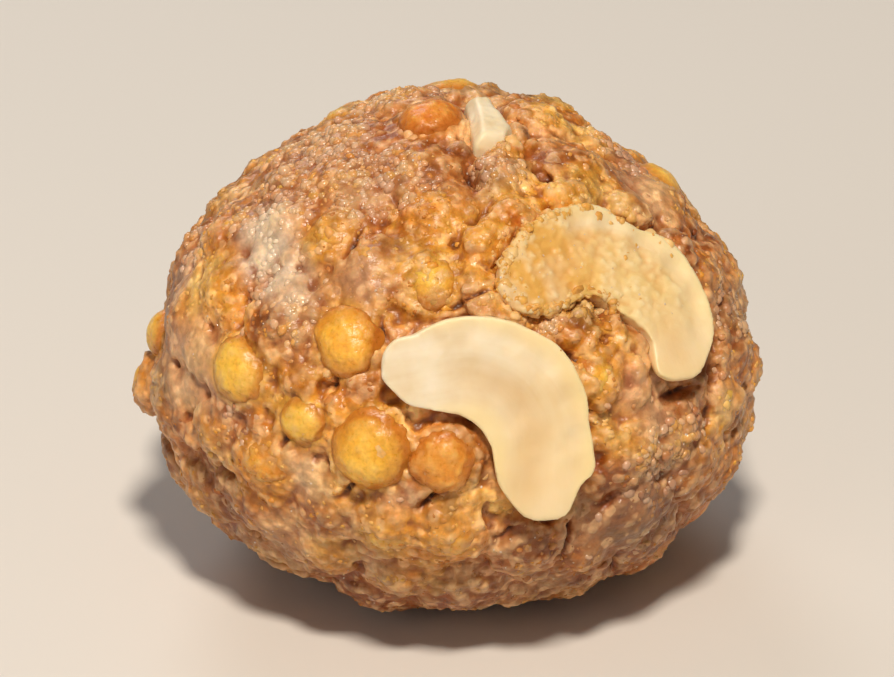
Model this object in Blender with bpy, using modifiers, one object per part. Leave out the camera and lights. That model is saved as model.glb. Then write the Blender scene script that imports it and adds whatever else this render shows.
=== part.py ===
"""A ghee boondi ladoo, rolled by hand and resting on a small flat spot.

The ball is one solid: pressed boondi paste with the fried gram-flour pearls that show on it
fused on. Split cashew kernels and one broken chip lie in sockets of their own shape.
Metres, +Z up. The origin is on the flat spot, under the middle of the ball.
"""

import math
import random

import bpy
from mathutils import Matrix, Vector

MM = 0.001

# The pressed ball, measured to its paste. The pearls stand out of it.
HALF_WIDTH = 27.0 * MM
HALF_DEPTH = 26.4 * MM
HALF_HEIGHT = 22.4 * MM
FLAT_SPOT_DEPTH = 1.3 * MM
MIDDLE = Vector((0.0, 0.58 * MM, HALF_HEIGHT - FLAT_SPOT_DEPTH))
SLUMP = 0.03  # share of the radius by which it is fuller below its middle and slimmer above
# Where palms and fingers pressed it: azimuth and height angle in degrees, depth, spread in degrees.
# A depth below zero is where the paste bulged out instead.
PALM_PRESSES = (
    (156, 36, 1.6 * MM, 24),
    (174, 8, 1.4 * MM, 17),
    (26, 38, 0.9 * MM, 22),
    (-19, -30, -1.2 * MM, 26),
    (95, 12, 1.1 * MM, 30),
    (235, -12, 0.7 * MM, 22),
    (60, -25, -0.7 * MM, 24),
)
CORE_SUBDIVISIONS = 4

# Boondi: fried gram-flour pearls, flattened a little where they were pressed into the ball.
BOONDI_DIAMETERS = (6.8 * MM, 4.4 * MM)
BOONDI_THICKNESS = 0.76  # of the diameter
BOONDI_OVAL = (0.88, 1)  # the shorter width over the longer
BOONDI_PROUD = (0.5 * MM, 1.2 * MM)
BOONDI_SPACING = 0.95  # of the sum of two neighbours' radii
BOONDI_THROWS = 1500
BOONDI_LOWEST = 0.6 * MM  # a pearl's underside above the plane of the flat spot
SEED = 27

# The pearls that show best, as seen from VIEW_ELEVATION: across and up from the middle of the
# ball, diameter, and how far they stand out, in millimetres.
VIEW_ELEVATION = math.radians(29)
SHOWN_BOONDI = (
    (-6.7, -9.9, 7.2, 1.6),
    (-0.4, -10.8, 5.7, 1.2),
    (-8.8, -0.2, 6.3, 1.3),
    (-18.3, -2.8, 5.9, 1.3),
    (-1.2, 5.1, 5.8, 0.9),
    (-12.7, -7.3, 4.6, 0.8),
    (-16.0, -10.9, 6.0, 1.3),
    (-0.9, 11.4, 5.4, 0.9),
    (-10.1, 9.4, 5.2, 0.9),
    (-1.6, 19.6, 5.4, 1.1),
    (-20.0, 4.5, 5.4, 0.8),
    (-5.0, -16.9, 5.8, 1.1),
    (0.2, -17.4, 5.8, 1.2),
    (8.4, 19.9, 5.4, 1.0),
    (13.4, 17.8, 5.0, 0.8),
    (13.3, -3.4, 4.6, 0.8),
    (5.0, 14.4, 4.8, 0.9),
    (12.4, -19.4, 5.2, 0.9),
    (22.6, -11.2, 6.0, 1.0),
    (-26.5, -4.1, 4.6, 2.1),
    (-20.6, -8.4, 4.8, 0.7),
    (16.8, -10.4, 5.6, 0.9),
    (-11.4, -19.2, 5.4, 0.8),
)

# Half of a cashew kernel: two arms and a bend, its split face outwards.
CASHEW_BEND = math.radians(105)
CASHEW_BEND_RADIUS = 7.0 * MM  # of its middle line
CASHEW_LENGTH = 25.0 * MM  # along its middle line
CASHEW_WIDTH = 9.2 * MM  # at the middle of the bend
CASHEW_DEPTH = 4.3 * MM
CASHEW_CROWN = 0.5 * MM
CASHEW_BLUNT = 2.4  # exponent of its rounded ends: 2 is an ellipse, more is blunter
CASHEW_FLAT_FACE = 0.25  # exponent of its split face's section: 1 is round, less is flatter
CASHEW_TAPER = 0.08  # the second arm is wider than the first by twice this share
CASHEW_BALANCE = 3.1 * MM  # from the middle of its area to its middle line at the bend
CASHEW_SEGMENTS = 16
CASHEW_RINGS = 20
# Each half: across and up on the ball, turn of the ball, turn and lean of the half in degrees,
# size, and how deep the middle of its split face lies under the paste.
CASHEW_HALVES = {
    "cashew_front": (4.1, -6.4, 0, -43.5, 1.5, 1.01, 0.2 * MM),
    "cashew_side": (14.5, 4.2, 0, -12, -3, 1.03, 0.5 * MM),
    "cashew_back": (-3.0, -5.0, 168, 19, 0, 0.97, 0.5 * MM),
}

# A broken chip of a kernel, wedge-shaped.
CHIP_SPOT = (3.8, 19.2)
CHIP_SIZE = (4.4 * MM, 8.4 * MM, 4.4 * MM)
CHIP_TURN = 12
CHIP_SINK = 1.4 * MM
CHIP_NARROW_END = 0.55
CHIP_EDGE = 0.5 * MM

GAP = 0.3 * MM
SOCKET_OPENING = 6.0 * MM


def linear(colour):
    """Linear RGB of an sRGB colour written as six hex digits."""
    levels = (int(colour[i : i + 2], 16) / 255 for i in (0, 2, 4))
    return [v / 12.92 if v <= 0.04045 else ((v + 0.055) / 1.055) ** 2.4 for v in levels]


def finish(name, colour, roughness):
    material = bpy.data.materials.new(name)
    material.use_nodes = True
    shader = material.node_tree.nodes["Principled BSDF"]
    shader.inputs["Base Color"].default_value = (*linear(colour), 1)
    shader.inputs["Roughness"].default_value = roughness
    shader.inputs["Metallic"].default_value = 0
    return material


def new_collection(name):
    made = bpy.data.collections.new(name)
    bpy.context.scene.collection.children.link(made)
    return made


def move_to(obj, collection):
    for held in list(obj.users_collection):
        held.objects.unlink(obj)
    collection.objects.link(obj)


def polar(azimuth, height):
    """Unit vector at an azimuth from +X towards +Y and a height angle, both in degrees."""
    return Matrix.Rotation(math.radians(azimuth), 3, "Z") @ Vector(
        (math.cos(math.radians(height)), 0, math.sin(math.radians(height)))
    )


def core_radius(toward):
    """Distance from the middle of the ball to its paste along a unit vector."""
    x, y, z = toward
    smooth = 1 / math.sqrt((x / HALF_WIDTH) ** 2 + (y / HALF_DEPTH) ** 2 + (z / HALF_HEIGHT) ** 2)
    radius = smooth * (1 - SLUMP * 2 * z * math.hypot(x, y))
    for azimuth, height, depth, spread in PALM_PRESSES:
        away = toward.angle(polar(azimuth, height)) / math.radians(spread)
        radius -= depth * math.exp(-away * away)
    return radius


def core_point(toward):
    return MIDDLE + core_radius(toward) * toward


def core_normal(toward):
    """Outward normal of the paste, from two short steps along its surface."""
    step = 0.02
    side = toward.orthogonal().normalized()
    other = toward.cross(side)
    here = core_point(toward)
    first = core_point((toward + step * side).normalized()) - here
    second = core_point((toward + step * other).normalized()) - here
    return first.cross(second).normalized()


def toward_spot(across, up, ball_turn=0):
    """Unit vector from the middle of the ball to what is seen across and up, in millimetres."""
    upward = Vector((0, math.sin(VIEW_ELEVATION), math.cos(VIEW_ELEVATION)))
    nearer = Vector((0, -math.cos(VIEW_ELEVATION), math.sin(VIEW_ELEVATION)))
    in_view = Vector((across * MM, 0, 0)) + up * MM * upward
    depth, step = 0, HALF_WIDTH
    while step > 0.01 * MM:
        place = in_view + (depth + step) * nearer
        if place.length < core_radius(place.normalized()):
            depth += step
        else:
            step /= 2
    toward = (in_view + depth * nearer).normalized()
    return Matrix.Rotation(math.radians(ball_turn), 3, "Z") @ toward


def seat(toward, rise, turn=0, lean=0):
    """Frame over the paste: Z out along its normal, X as near +X as it can be, then turned and leaned."""
    normal = core_normal(toward)
    sideways = (Vector((1, 0, 0)) - normal.x * normal).normalized()
    frame = Matrix((sideways, normal.cross(sideways), normal)).transposed().to_4x4()
    frame.translation = core_point(toward) + rise * normal
    turned = Matrix.Rotation(math.radians(turn), 4, "Z")
    return frame @ turned @ Matrix.Rotation(math.radians(lean), 4, "Y")


def paste_core():
    """The pressed ball without its pearls."""
    bpy.ops.mesh.primitive_ico_sphere_add(subdivisions=CORE_SUBDIVISIONS, radius=1)
    core = bpy.context.object
    core.name = "boondi_ball"
    for vertex in core.data.vertices:
        vertex.co = core_point(vertex.co.normalized())
    return core


def bent(along, aside):
    """Point beside a kernel's middle line: an arc with a straight arm at each end."""
    arc_end = CASHEW_BEND_RADIUS * CASHEW_BEND / 2
    on_arc = max(-arc_end, min(arc_end, along))
    angle = on_arc / CASHEW_BEND_RADIUS
    outward = Vector((math.sin(angle), math.cos(angle), 0))
    onward = Vector((math.cos(angle), -math.sin(angle), 0))
    drop = Vector((0, CASHEW_BALANCE - CASHEW_BEND_RADIUS, 0))
    return drop + (CASHEW_BEND_RADIUS + aside) * outward + (along - on_arc) * onward


def kernel_half(name, swell=0, crown=CASHEW_CROWN):
    """Half a kernel, its split face at Z 0. Swollen and with a high crown, it is its socket."""
    bpy.ops.mesh.primitive_uv_sphere_add(segments=CASHEW_SEGMENTS, ring_count=CASHEW_RINGS, radius=1)
    half = bpy.context.object
    half.name = name
    half.data.transform(Matrix.Rotation(math.pi / 2, 4, "Y"))
    for vertex in half.data.vertices:
        x, y, z = vertex.co
        ring = max(math.hypot(y, z), 1e-6)
        y, z = y / ring, z / ring
        full = max(0, 1 - abs(x) ** CASHEW_BLUNT) ** (1 / CASHEW_BLUNT)
        width = CASHEW_WIDTH / 2 * full * (1 + CASHEW_TAPER * x) + swell * (full > 0)
        point = bent(x * (CASHEW_LENGTH / 2 + swell), y * width)
        if z > 1e-6:
            point.z = crown * full * z**CASHEW_FLAT_FACE
        else:
            point.z = z * (CASHEW_DEPTH * full + swell * (full > 0))
        vertex.co = point
    return half


def kernel_chip(name, swell=0, crown=0):
    """A broken chip: a wedge with softened edges. Swollen and with a crown, its socket."""
    bpy.ops.mesh.primitive_cube_add(size=1)
    chip = bpy.context.object
    chip.name = name
    width, length, depth = CHIP_SIZE
    for vertex in chip.data.vertices:
        narrowing = CHIP_NARROW_END if vertex.co.y > 0 else 1
        vertex.co.x *= width * narrowing + 2 * swell
        vertex.co.y *= length + 2 * swell
        vertex.co.z *= depth + 2 * swell
        vertex.co.z += crown * (vertex.co.z > 0)
    if swell == 0:
        edges = chip.modifiers.new("Softened edges", "BEVEL")
        edges.width = CHIP_EDGE
        edges.segments = 2
    return chip


def cashew_seats():
    """Where each piece of cashew lies: name, frame and size."""
    for name, (across, up, ball_turn, turn, lean, size, sink) in CASHEW_HALVES.items():
        frame = seat(toward_spot(across, up, ball_turn), -sink, turn, lean)
        yield name, frame @ Matrix.Scale(size, 4)
    yield "cashew_chip", seat(toward_spot(*CHIP_SPOT), -CHIP_SINK, CHIP_TURN)


def add_cashews(parts, cutters):
    """Every piece of cashew, and in the cutters its socket."""
    for name, frame in cashew_seats():
        make = kernel_chip if name == "cashew_chip" else kernel_half
        piece = make(name)
        piece.data.transform(frame)
        piece.data.materials.append(finish(name, "EBCF9C", 0.45))
        piece.data.shade_smooth()
        move_to(piece, parts)
        socket = make(name + "_socket", swell=GAP, crown=SOCKET_OPENING)
        socket.data.transform(frame)
        move_to(socket, cutters)


def cashew_points():
    """Points along each piece of cashew, with the piece's half width there."""
    steps = [-1 + i / 5 for i in range(11)]
    for name, frame in cashew_seats():
        for step in steps:
            if name == "cashew_chip":
                yield frame @ Vector((0, step * CHIP_SIZE[1] / 2, CHIP_SINK)), CHIP_SIZE[0] / 2
            else:
                along = step * (CASHEW_LENGTH - CASHEW_WIDTH) / 2
                yield frame @ bent(along, 0), frame.median_scale * CASHEW_WIDTH / 2


def pearl_places():
    """Direction, diameter and rise of each pearl: those that show best, then others, largest first."""
    rng = random.Random(SEED)
    cashews = list(cashew_points())
    places = [(toward_spot(across, up), size * MM, proud * MM) for across, up, size, proud in SHOWN_BOONDI]
    largest, smallest = BOONDI_DIAMETERS
    for throw in range(BOONDI_THROWS):
        toward = Vector([rng.gauss(0, 1) for _ in range(3)]).normalized()
        size = largest + (smallest - largest) * throw / BOONDI_THROWS
        here = core_point(toward)
        off_floor = here.z - size / 2 > BOONDI_LOWEST
        off_cashews = all((here - at).length > size / 2 + half + 2 * GAP for at, half in cashews)
        off_pearls = all(
            (here - core_point(other)).length > BOONDI_SPACING * (size + other_size) / 2
            for other, other_size, _ in places
        )
        if off_floor and off_cashews and off_pearls:
            places.append((toward, size, rng.uniform(*BOONDI_PROUD)))
    return places


def fuse(obj, operation, collection):
    """Joins to the object, or cuts from it, all that a collection holds."""
    boolean = obj.modifiers.new(operation.title(), "BOOLEAN")
    boolean.operation = operation
    boolean.operand_type = "COLLECTION"
    boolean.collection = collection
    bpy.context.view_layer.objects.active = obj
    bpy.ops.object.modifier_apply(modifier=boolean.name)


def fuse_boondi(core):
    """Adds the pearls to the ball by one union."""
    pearls = new_collection("boondi")
    rng = random.Random(SEED)
    for toward, diameter, proud in pearl_places():
        bpy.ops.mesh.primitive_ico_sphere_add(subdivisions=2, radius=diameter / 2)
        pearl = bpy.context.object
        flattened = Matrix.Diagonal((1, rng.uniform(*BOONDI_OVAL), BOONDI_THICKNESS, 1))
        rise = proud - BOONDI_THICKNESS * diameter / 2
        pearl.data.transform(seat(toward, rise, rng.uniform(0, 360)) @ flattened)
        move_to(pearl, pearls)
    fuse(core, "UNION", pearls)
    for pearl in list(pearls.objects):
        bpy.data.objects.remove(pearl)
    bpy.data.collections.remove(pearls)


def add_flat_spot_cutter(cutters):
    """A block under the plane of the flat spot."""
    bpy.ops.mesh.primitive_cube_add(size=2 * HALF_WIDTH, location=(0, 0, -HALF_WIDTH))
    bpy.context.object.name = "flat_spot_cutter"
    move_to(bpy.context.object, cutters)


def main():
    for obj in list(bpy.data.objects):
        bpy.data.objects.remove(obj)
    parts = new_collection("ghee_ladoo")
    cutters = new_collection("cutters")
    ball = paste_core()
    move_to(ball, parts)
    fuse_boondi(ball)
    add_cashews(parts, cutters)
    add_flat_spot_cutter(cutters)
    fuse(ball, "DIFFERENCE", cutters)
    ball.data.materials.clear()
    ball.data.materials.append(finish("boondi_paste", "C4854C", 0.55))
    for cutter in cutters.objects:
        cutter.hide_render = True
        cutter.display_type = "WIRE"


main()
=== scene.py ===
"""A ghee boondi ladoo: its paste, pearls, crumbs, sugar and cashews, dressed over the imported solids."""

import math
import random

import bmesh
import bpy
import numpy as np
from mathutils import Euler, Matrix, Vector
from mathutils.bvhtree import BVHTree
from mathutils.kdtree import KDTree


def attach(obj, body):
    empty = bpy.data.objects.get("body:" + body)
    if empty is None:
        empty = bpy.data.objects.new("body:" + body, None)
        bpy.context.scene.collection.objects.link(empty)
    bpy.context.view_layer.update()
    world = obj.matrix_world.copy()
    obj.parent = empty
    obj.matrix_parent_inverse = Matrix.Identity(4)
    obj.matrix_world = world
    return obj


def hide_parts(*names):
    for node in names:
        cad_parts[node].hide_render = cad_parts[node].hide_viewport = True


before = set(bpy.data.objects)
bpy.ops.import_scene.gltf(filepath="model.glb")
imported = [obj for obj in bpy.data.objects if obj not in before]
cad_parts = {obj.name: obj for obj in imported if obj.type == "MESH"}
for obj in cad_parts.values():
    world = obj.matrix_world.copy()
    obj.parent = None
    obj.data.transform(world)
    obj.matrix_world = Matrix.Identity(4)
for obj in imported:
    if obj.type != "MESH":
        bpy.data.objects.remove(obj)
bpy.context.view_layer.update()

MM = 0.001

# ---------------------------------------------------------------------------------------------
# Sizes, the same as the solids'
# ---------------------------------------------------------------------------------------------

HALF_WIDTH = 27.0 * MM
HALF_DEPTH = 26.4 * MM
HALF_HEIGHT = 22.4 * MM
FLAT_SPOT_DEPTH = 1.3 * MM
MIDDLE = Vector((0.0, 0.58 * MM, HALF_HEIGHT - FLAT_SPOT_DEPTH))
SLUMP = 0.03  # share of the radius by which it is fuller below its middle and slimmer above
# Where palms pressed it, or where it bulges if the depth is negative: azimuth and height angle in
# degrees, depth, spread in degrees.
PALM_PRESSES = (
    (156, 36, 1.6 * MM, 24),
    (174, 8, 1.4 * MM, 17),
    (26, 38, 0.9 * MM, 22),
    (-19, -30, -1.2 * MM, 26),
    (95, 12, 1.1 * MM, 30),
    (235, -12, 0.7 * MM, 22),
    (60, -25, -0.7 * MM, 24),
)

BOONDI_DIAMETERS = (6.8 * MM, 4.4 * MM)
BOONDI_THICKNESS = 0.76  # of the diameter
BOONDI_OVAL = (0.88, 1)  # the shorter width over the longer
BOONDI_PROUD = (0.5 * MM, 1.2 * MM)
BOONDI_SPACING = 0.95  # of the sum of two neighbours' radii
BOONDI_THROWS = 1500
BOONDI_LOWEST = 0.6 * MM  # a pearl's underside above the plane of the flat spot
HIDDEN_COVERS = (0.1, 0.4, 0.7, 0.8, 0.85, 0.9, 0.95, 0.9)  # on the sides and back
BARE = 0.6  # a pearl covered less than this shows whole
SEED = 27

VIEW_ELEVATION = math.radians(29)
# Across and up in millimetres, diameter, how far it stands out, its colour from orange 0 to
# yellow 1, how much of it the paste covers, and from which side in degrees.
SHOWN_BOONDI = (
    (-6.7, -9.9, 7.2, 1.6, 0.75, 0.0, 0),
    (-0.4, -10.8, 5.7, 1.2, 0.3, 0.3, 190),
    (-8.8, -0.2, 6.3, 1.3, 0.65, 0.3, 80),
    (-18.3, -2.8, 5.9, 1.3, 0.95, 0.25, 220),
    (-1.2, 5.1, 5.8, 0.9, 0.85, 0.62, 150),
    (-12.7, -7.3, 4.6, 0.8, 0.95, 0.4, 100),
    (-16.0, -10.9, 6.0, 1.3, 0.4, 0.62, 200),
    (-0.9, 11.4, 5.4, 0.9, 0.4, 0.85, 250),
    (-10.1, 9.4, 5.2, 0.9, 0.5, 0.8, 60),
    (-1.6, 19.6, 5.4, 1.4, 0.1, 0.15, 250),  # 0.3 mm farther out than in the solid
    (-20.0, 4.5, 5.4, 0.8, 0.5, 0.92, 0),
    (-5.0, -16.9, 5.8, 1.1, 0.5, 0.7, 90),
    (0.2, -17.4, 5.8, 1.2, 0.4, 0.7, 120),
    (8.4, 19.9, 5.4, 1.0, 0.9, 0.85, 250),
    (13.4, 17.8, 5.0, 0.8, 0.7, 0.8, 0),
    (13.3, -3.4, 4.6, 0.8, 0.7, 0.75, 300),
    (5.0, 14.4, 4.8, 0.9, 0.2, 0.95, 0),
    (12.4, -19.4, 5.2, 0.9, 0.2, 0.85, 90),
    (22.6, -11.2, 6.0, 1.0, 0.2, 0.75, 120),
    (-26.5, -4.1, 4.6, 2.1, 0.5, 0.8, 0),
    (-20.6, -8.4, 4.8, 0.7, 0.9, 0.9, 180),
    (16.8, -10.4, 5.6, 0.9, 0.3, 0.95, 90),
    (-11.4, -19.2, 5.4, 0.8, 0.4, 0.85, 90),
)

CASHEW_BEND = math.radians(105)
CASHEW_BEND_RADIUS = 7.0 * MM  # of its middle line
CASHEW_LENGTH = 25.0 * MM  # along its middle line
CASHEW_WIDTH = 9.2 * MM  # at the middle of the bend
CASHEW_DEPTH = 4.3 * MM
CASHEW_CROWN = 0.5 * MM
CASHEW_BLUNT = 2.4  # exponent of its rounded ends: 2 is an ellipse, more is blunter
CASHEW_TAPER = 0.08  # the second arm is wider than the first by twice this share
CASHEW_BALANCE = 3.1 * MM  # from the middle of its area to its middle line at the bend
# Across and up, turn of the ball, turn and lean of the half, size, sink.
CASHEW_HALVES = {
    "cashew_front": (4.1, -6.4, 0, -43.5, 1.5, 1.01, 0.2 * MM),
    "cashew_side": (14.5, 4.2, 0, -12, -3, 1.03, 0.5 * MM),
    "cashew_back": (-3.0, -5.0, 168, 19, 0, 0.97, 0.5 * MM),
}
CHIP_SPOT = (3.8, 19.2)
CHIP_SIZE = (4.4 * MM, 8.4 * MM, 4.4 * MM)
CHIP_TURN = 12
CHIP_SINK = 1.4 * MM
CHIP_NARROW_END = 0.55
GAP = 0.3 * MM


# ---------------------------------------------------------------------------------------------
# The ball's form and places on it
# ---------------------------------------------------------------------------------------------


def random_toward(rng):
    return Vector([rng.gauss(0, 1) for _ in range(3)]).normalized()


def random_turn(rng):
    return Euler([rng.uniform(0, math.tau) for _ in range(3)]).to_matrix().to_4x4()


def polar(azimuth, height):
    """Unit vector at an azimuth from +X towards +Y and a height angle, both in degrees."""
    return Matrix.Rotation(math.radians(azimuth), 3, "Z") @ Vector(
        (math.cos(math.radians(height)), 0, math.sin(math.radians(height)))
    )


def core_radius(toward):
    """Distance from the middle of the ball to its paste along a unit vector."""
    x, y, z = toward
    smooth = 1 / math.sqrt((x / HALF_WIDTH) ** 2 + (y / HALF_DEPTH) ** 2 + (z / HALF_HEIGHT) ** 2)
    radius = smooth * (1 - SLUMP * 2 * z * math.hypot(x, y))
    for azimuth, height, depth, spread in PALM_PRESSES:
        away = toward.angle(polar(azimuth, height)) / math.radians(spread)
        radius -= depth * math.exp(-away * away)
    return radius


def core_point(toward):
    return MIDDLE + core_radius(toward) * toward


def core_normal(toward):
    """Outward normal of the paste, from two short steps along its surface."""
    step = 0.02
    side = toward.orthogonal().normalized()
    other = toward.cross(side)
    here = core_point(toward)
    first = core_point((toward + step * side).normalized()) - here
    second = core_point((toward + step * other).normalized()) - here
    return first.cross(second).normalized()


def toward_spot(across, up, ball_turn=0):
    """Unit vector from the middle of the ball to what is seen across and up, in millimetres."""
    upward = Vector((0, math.sin(VIEW_ELEVATION), math.cos(VIEW_ELEVATION)))
    nearer = Vector((0, -math.cos(VIEW_ELEVATION), math.sin(VIEW_ELEVATION)))
    in_view = Vector((across * MM, 0, 0)) + up * MM * upward
    depth, step = 0, HALF_WIDTH
    while step > 0.01 * MM:
        place = in_view + (depth + step) * nearer
        if place.length < core_radius(place.normalized()):
            depth += step
        else:
            step /= 2
    toward = (in_view + depth * nearer).normalized()
    return Matrix.Rotation(math.radians(ball_turn), 3, "Z") @ toward


def seat(toward, rise, turn=0, lean=0):
    """Frame over the paste: Z out along its normal, X as near +X as it can be, then turned and leaned."""
    normal = core_normal(toward)
    sideways = (Vector((1, 0, 0)) - normal.x * normal).normalized()
    seated = Matrix((sideways, normal.cross(sideways), normal)).transposed().to_4x4()
    seated.translation = core_point(toward) + rise * normal
    turned = Matrix.Rotation(math.radians(turn), 4, "Z")
    return seated @ turned @ Matrix.Rotation(math.radians(lean), 4, "Y")


def bent(along, aside):
    """Point beside a kernel's middle line: an arc with a straight arm at each end."""
    arc_end = CASHEW_BEND_RADIUS * CASHEW_BEND / 2
    on_arc = max(-arc_end, min(arc_end, along))
    angle = on_arc / CASHEW_BEND_RADIUS
    outward = Vector((math.sin(angle), math.cos(angle), 0))
    onward = Vector((math.cos(angle), -math.sin(angle), 0))
    drop = Vector((0, CASHEW_BALANCE - CASHEW_BEND_RADIUS, 0))
    return drop + (CASHEW_BEND_RADIUS + aside) * outward + (along - on_arc) * onward


def cashew_seats():
    """Where each piece of cashew lies: name, frame and size."""
    for name, (across, up, ball_turn, turn, lean, size, sink) in CASHEW_HALVES.items():
        seated = seat(toward_spot(across, up, ball_turn), -sink, turn, lean)
        yield name, seated @ Matrix.Scale(size, 4)
    yield "cashew_chip", seat(toward_spot(*CHIP_SPOT), -CHIP_SINK, CHIP_TURN)


def cashew_points():
    """Points along each piece of cashew, with the piece's half width there."""
    steps = [-1 + i / 5 for i in range(11)]
    for name, seated in cashew_seats():
        for step in steps:
            if name == "cashew_chip":
                yield seated @ Vector((0, step * CHIP_SIZE[1] / 2, CHIP_SINK)), CHIP_SIZE[0] / 2
            else:
                along = step * (CASHEW_LENGTH - CASHEW_WIDTH) / 2
                yield seated @ bent(along, 0), seated.median_scale * CASHEW_WIDTH / 2


CASHEW_POINTS = list(cashew_points())


def pearl_places():
    """Direction, diameter, rise, colour, cover and the cover's side of each pearl, as in the solid."""
    rng = random.Random(SEED)
    looks = random.Random(SEED + 1)
    places = [
        (toward_spot(across, up), size * MM, proud * MM, tone, cover, side)
        for across, up, size, proud, tone, cover, side in SHOWN_BOONDI
    ]
    shown = toward_spot(0, 0)
    largest, smallest = BOONDI_DIAMETERS
    for throw in range(BOONDI_THROWS):
        toward = random_toward(rng)
        size = largest + (smallest - largest) * throw / BOONDI_THROWS
        here = core_point(toward)
        off_floor = here.z - size / 2 > BOONDI_LOWEST
        off_cashews = all((here - at).length > size / 2 + half + 2 * GAP for at, half in CASHEW_POINTS)
        off_pearls = all(
            (here - core_point(other)).length > BOONDI_SPACING * (size + other_size) / 2
            for other, other_size, *_ in places
        )
        if off_floor and off_cashews and off_pearls:
            cover = looks.choice(HIDDEN_COVERS)
            if toward.dot(shown) > 0.25:
                cover = 0.9 + 0.08 * looks.random()
            proud, tone, side = rng.uniform(*BOONDI_PROUD), looks.random(), looks.uniform(0, 360)
            places.append((toward, size, proud, tone, cover, side))
    return places


PEARLS = pearl_places()


def pearl_shapes():
    """For each pearl, what turns a ball of radius 1 into it, the same as in the solid."""
    rng = random.Random(SEED)
    shapes = []
    for toward, size, proud, *_ in PEARLS:
        oval = rng.uniform(*BOONDI_OVAL)
        seated = seat(toward, proud - BOONDI_THICKNESS * size / 2, rng.uniform(0, 360))
        shapes.append(seated @ Matrix.Diagonal((size / 2, oval * size / 2, BOONDI_THICKNESS * size / 2, 1)))
    return shapes


PEARL_SHAPES = pearl_shapes()


# ---------------------------------------------------------------------------------------------
# Modelling helpers
# ---------------------------------------------------------------------------------------------


def deselect_all():
    bpy.ops.object.select_all(action="DESELECT")


def select_only(*objects):
    deselect_all()
    for obj in objects:
        obj.select_set(True)
    bpy.context.view_layer.objects.active = objects[-1]


def edit_all(obj):
    """Opens the piece in edit mode with all of it selected."""
    select_only(obj)
    bpy.ops.object.mode_set(mode="EDIT")
    bpy.ops.mesh.select_mode(type="EDGE")
    bpy.ops.mesh.select_all(action="SELECT")


def choose_edges(obj, wanted):
    """In edit mode, selects only the edges whose two ends pass the test."""
    bpy.ops.mesh.select_all(action="DESELECT")
    mesh = bmesh.from_edit_mesh(obj.data)
    for edge in mesh.edges:
        if wanted(edge.verts[0].co, edge.verts[1].co):
            edge.select_set(True)
    bmesh.update_edit_mesh(obj.data)


def close_edit():
    bpy.ops.object.mode_set(mode="OBJECT")


def finish_modifier(obj, kind, **settings):
    """Adds a modifier and applies it."""
    modifier = obj.modifiers.new(kind, kind)
    for name, value in settings.items():
        setattr(modifier, name, value)
    select_only(obj)
    bpy.ops.object.modifier_apply(modifier=modifier.name)


def roughen(obj, reliefs, weights=None):
    """Raises and sinks the surface by noises, each given by its kind, how wide its features are
    and its strength, everywhere alike or by a weight for each point."""
    group = ""
    if weights is not None:
        group = obj.vertex_groups.new(name="roughened").name
        for index, weight in enumerate(weights.tolist()):
            obj.vertex_groups[group].add((index,), weight, "REPLACE")
    for kind, size, strength in reliefs:
        texture = bpy.data.textures.new(kind, kind)
        texture.noise_scale = size
        finish_modifier(obj, "DISPLACE", texture=texture, strength=strength, texture_coords="LOCAL",
                        vertex_group=group)
    obj.vertex_groups.clear()


def roughen_apart(obj, apart, reliefs):
    """Roughens a model a distance off, where the noise is another one, and brings it back."""
    obj.data.transform(Matrix.Translation((apart, 0, 0)))
    roughen(obj, reliefs)
    obj.data.transform(Matrix.Translation((-apart, 0, 0)))


def add_ball(subdivisions):
    bpy.ops.mesh.primitive_ico_sphere_add(subdivisions=subdivisions, radius=1)
    return bpy.context.object


def place_copy(model, matrix):
    """A copy of a modelled piece, with its own mesh, set in place."""
    copy = model.copy()
    copy.data = model.data.copy()
    copy.data.transform(matrix)
    bpy.context.scene.collection.objects.link(copy)
    return copy


def join(pieces, name):
    select_only(*pieces)
    bpy.ops.object.join()
    joined = bpy.context.object
    joined.name = joined.data.name = name
    return joined


def remove(*objects):
    for obj in objects:
        bpy.data.objects.remove(obj)


def points_of(obj):
    points = np.empty(len(obj.data.vertices) * 3, np.float32)
    obj.data.vertices.foreach_get("co", points)
    return points.reshape(-1, 3).astype(np.float64)


def set_points(obj, points):
    obj.data.vertices.foreach_set("co", points.astype(np.float32).reshape(-1))
    obj.data.update()


def normals_of(obj):
    normals = np.empty(len(obj.data.vertices) * 3, np.float32)
    obj.data.vertices.foreach_get("normal", normals)
    return normals.reshape(-1, 3)


def edges_of(obj):
    edges = np.empty(len(obj.data.edges) * 2, np.int32)
    obj.data.edges.foreach_get("vertices", edges)
    return edges.reshape(-1, 2).T


def store(obj, name, values):
    """Writes one value a point, for the material to read."""
    attribute = obj.data.attributes.new(name, "FLOAT", "POINT")
    attribute.data.foreach_set("value", np.asarray(values, np.float32).reshape(-1))


def smooth_step(low, high, values):
    t = np.clip((values - low) / (high - low), 0, 1)
    return t * t * (3 - 2 * t)


def blurred(obj, values, rounds):
    """Each point's value averaged with its neighbours', so many times over."""
    first, second = edges_of(obj)
    values = np.asarray(values, np.float64).reshape(len(obj.data.vertices), -1)
    links = np.maximum(np.bincount(np.concatenate((first, second)), minlength=len(values)), 1)
    for _ in range(rounds):
        total = np.empty_like(values)
        for column in range(values.shape[1]):
            total[:, column] = np.bincount(first, values[second, column], len(values))
            total[:, column] += np.bincount(second, values[first, column], len(values))
        values = 0.5 * values + 0.5 * total / links[:, None]
    return values


def crease_depth(obj, rounds):
    """How deep each point lies in a crease: how far its neighbours' average stands over it."""
    points = points_of(obj)
    return ((blurred(obj, points, rounds) - points) * normals_of(obj)).sum(1)


def into(matrix, points):
    """The points in the frame that the matrix sets in place."""
    back = np.array(matrix.inverted())
    return points @ back[:3, :3].T + back[:3, 3]


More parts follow.
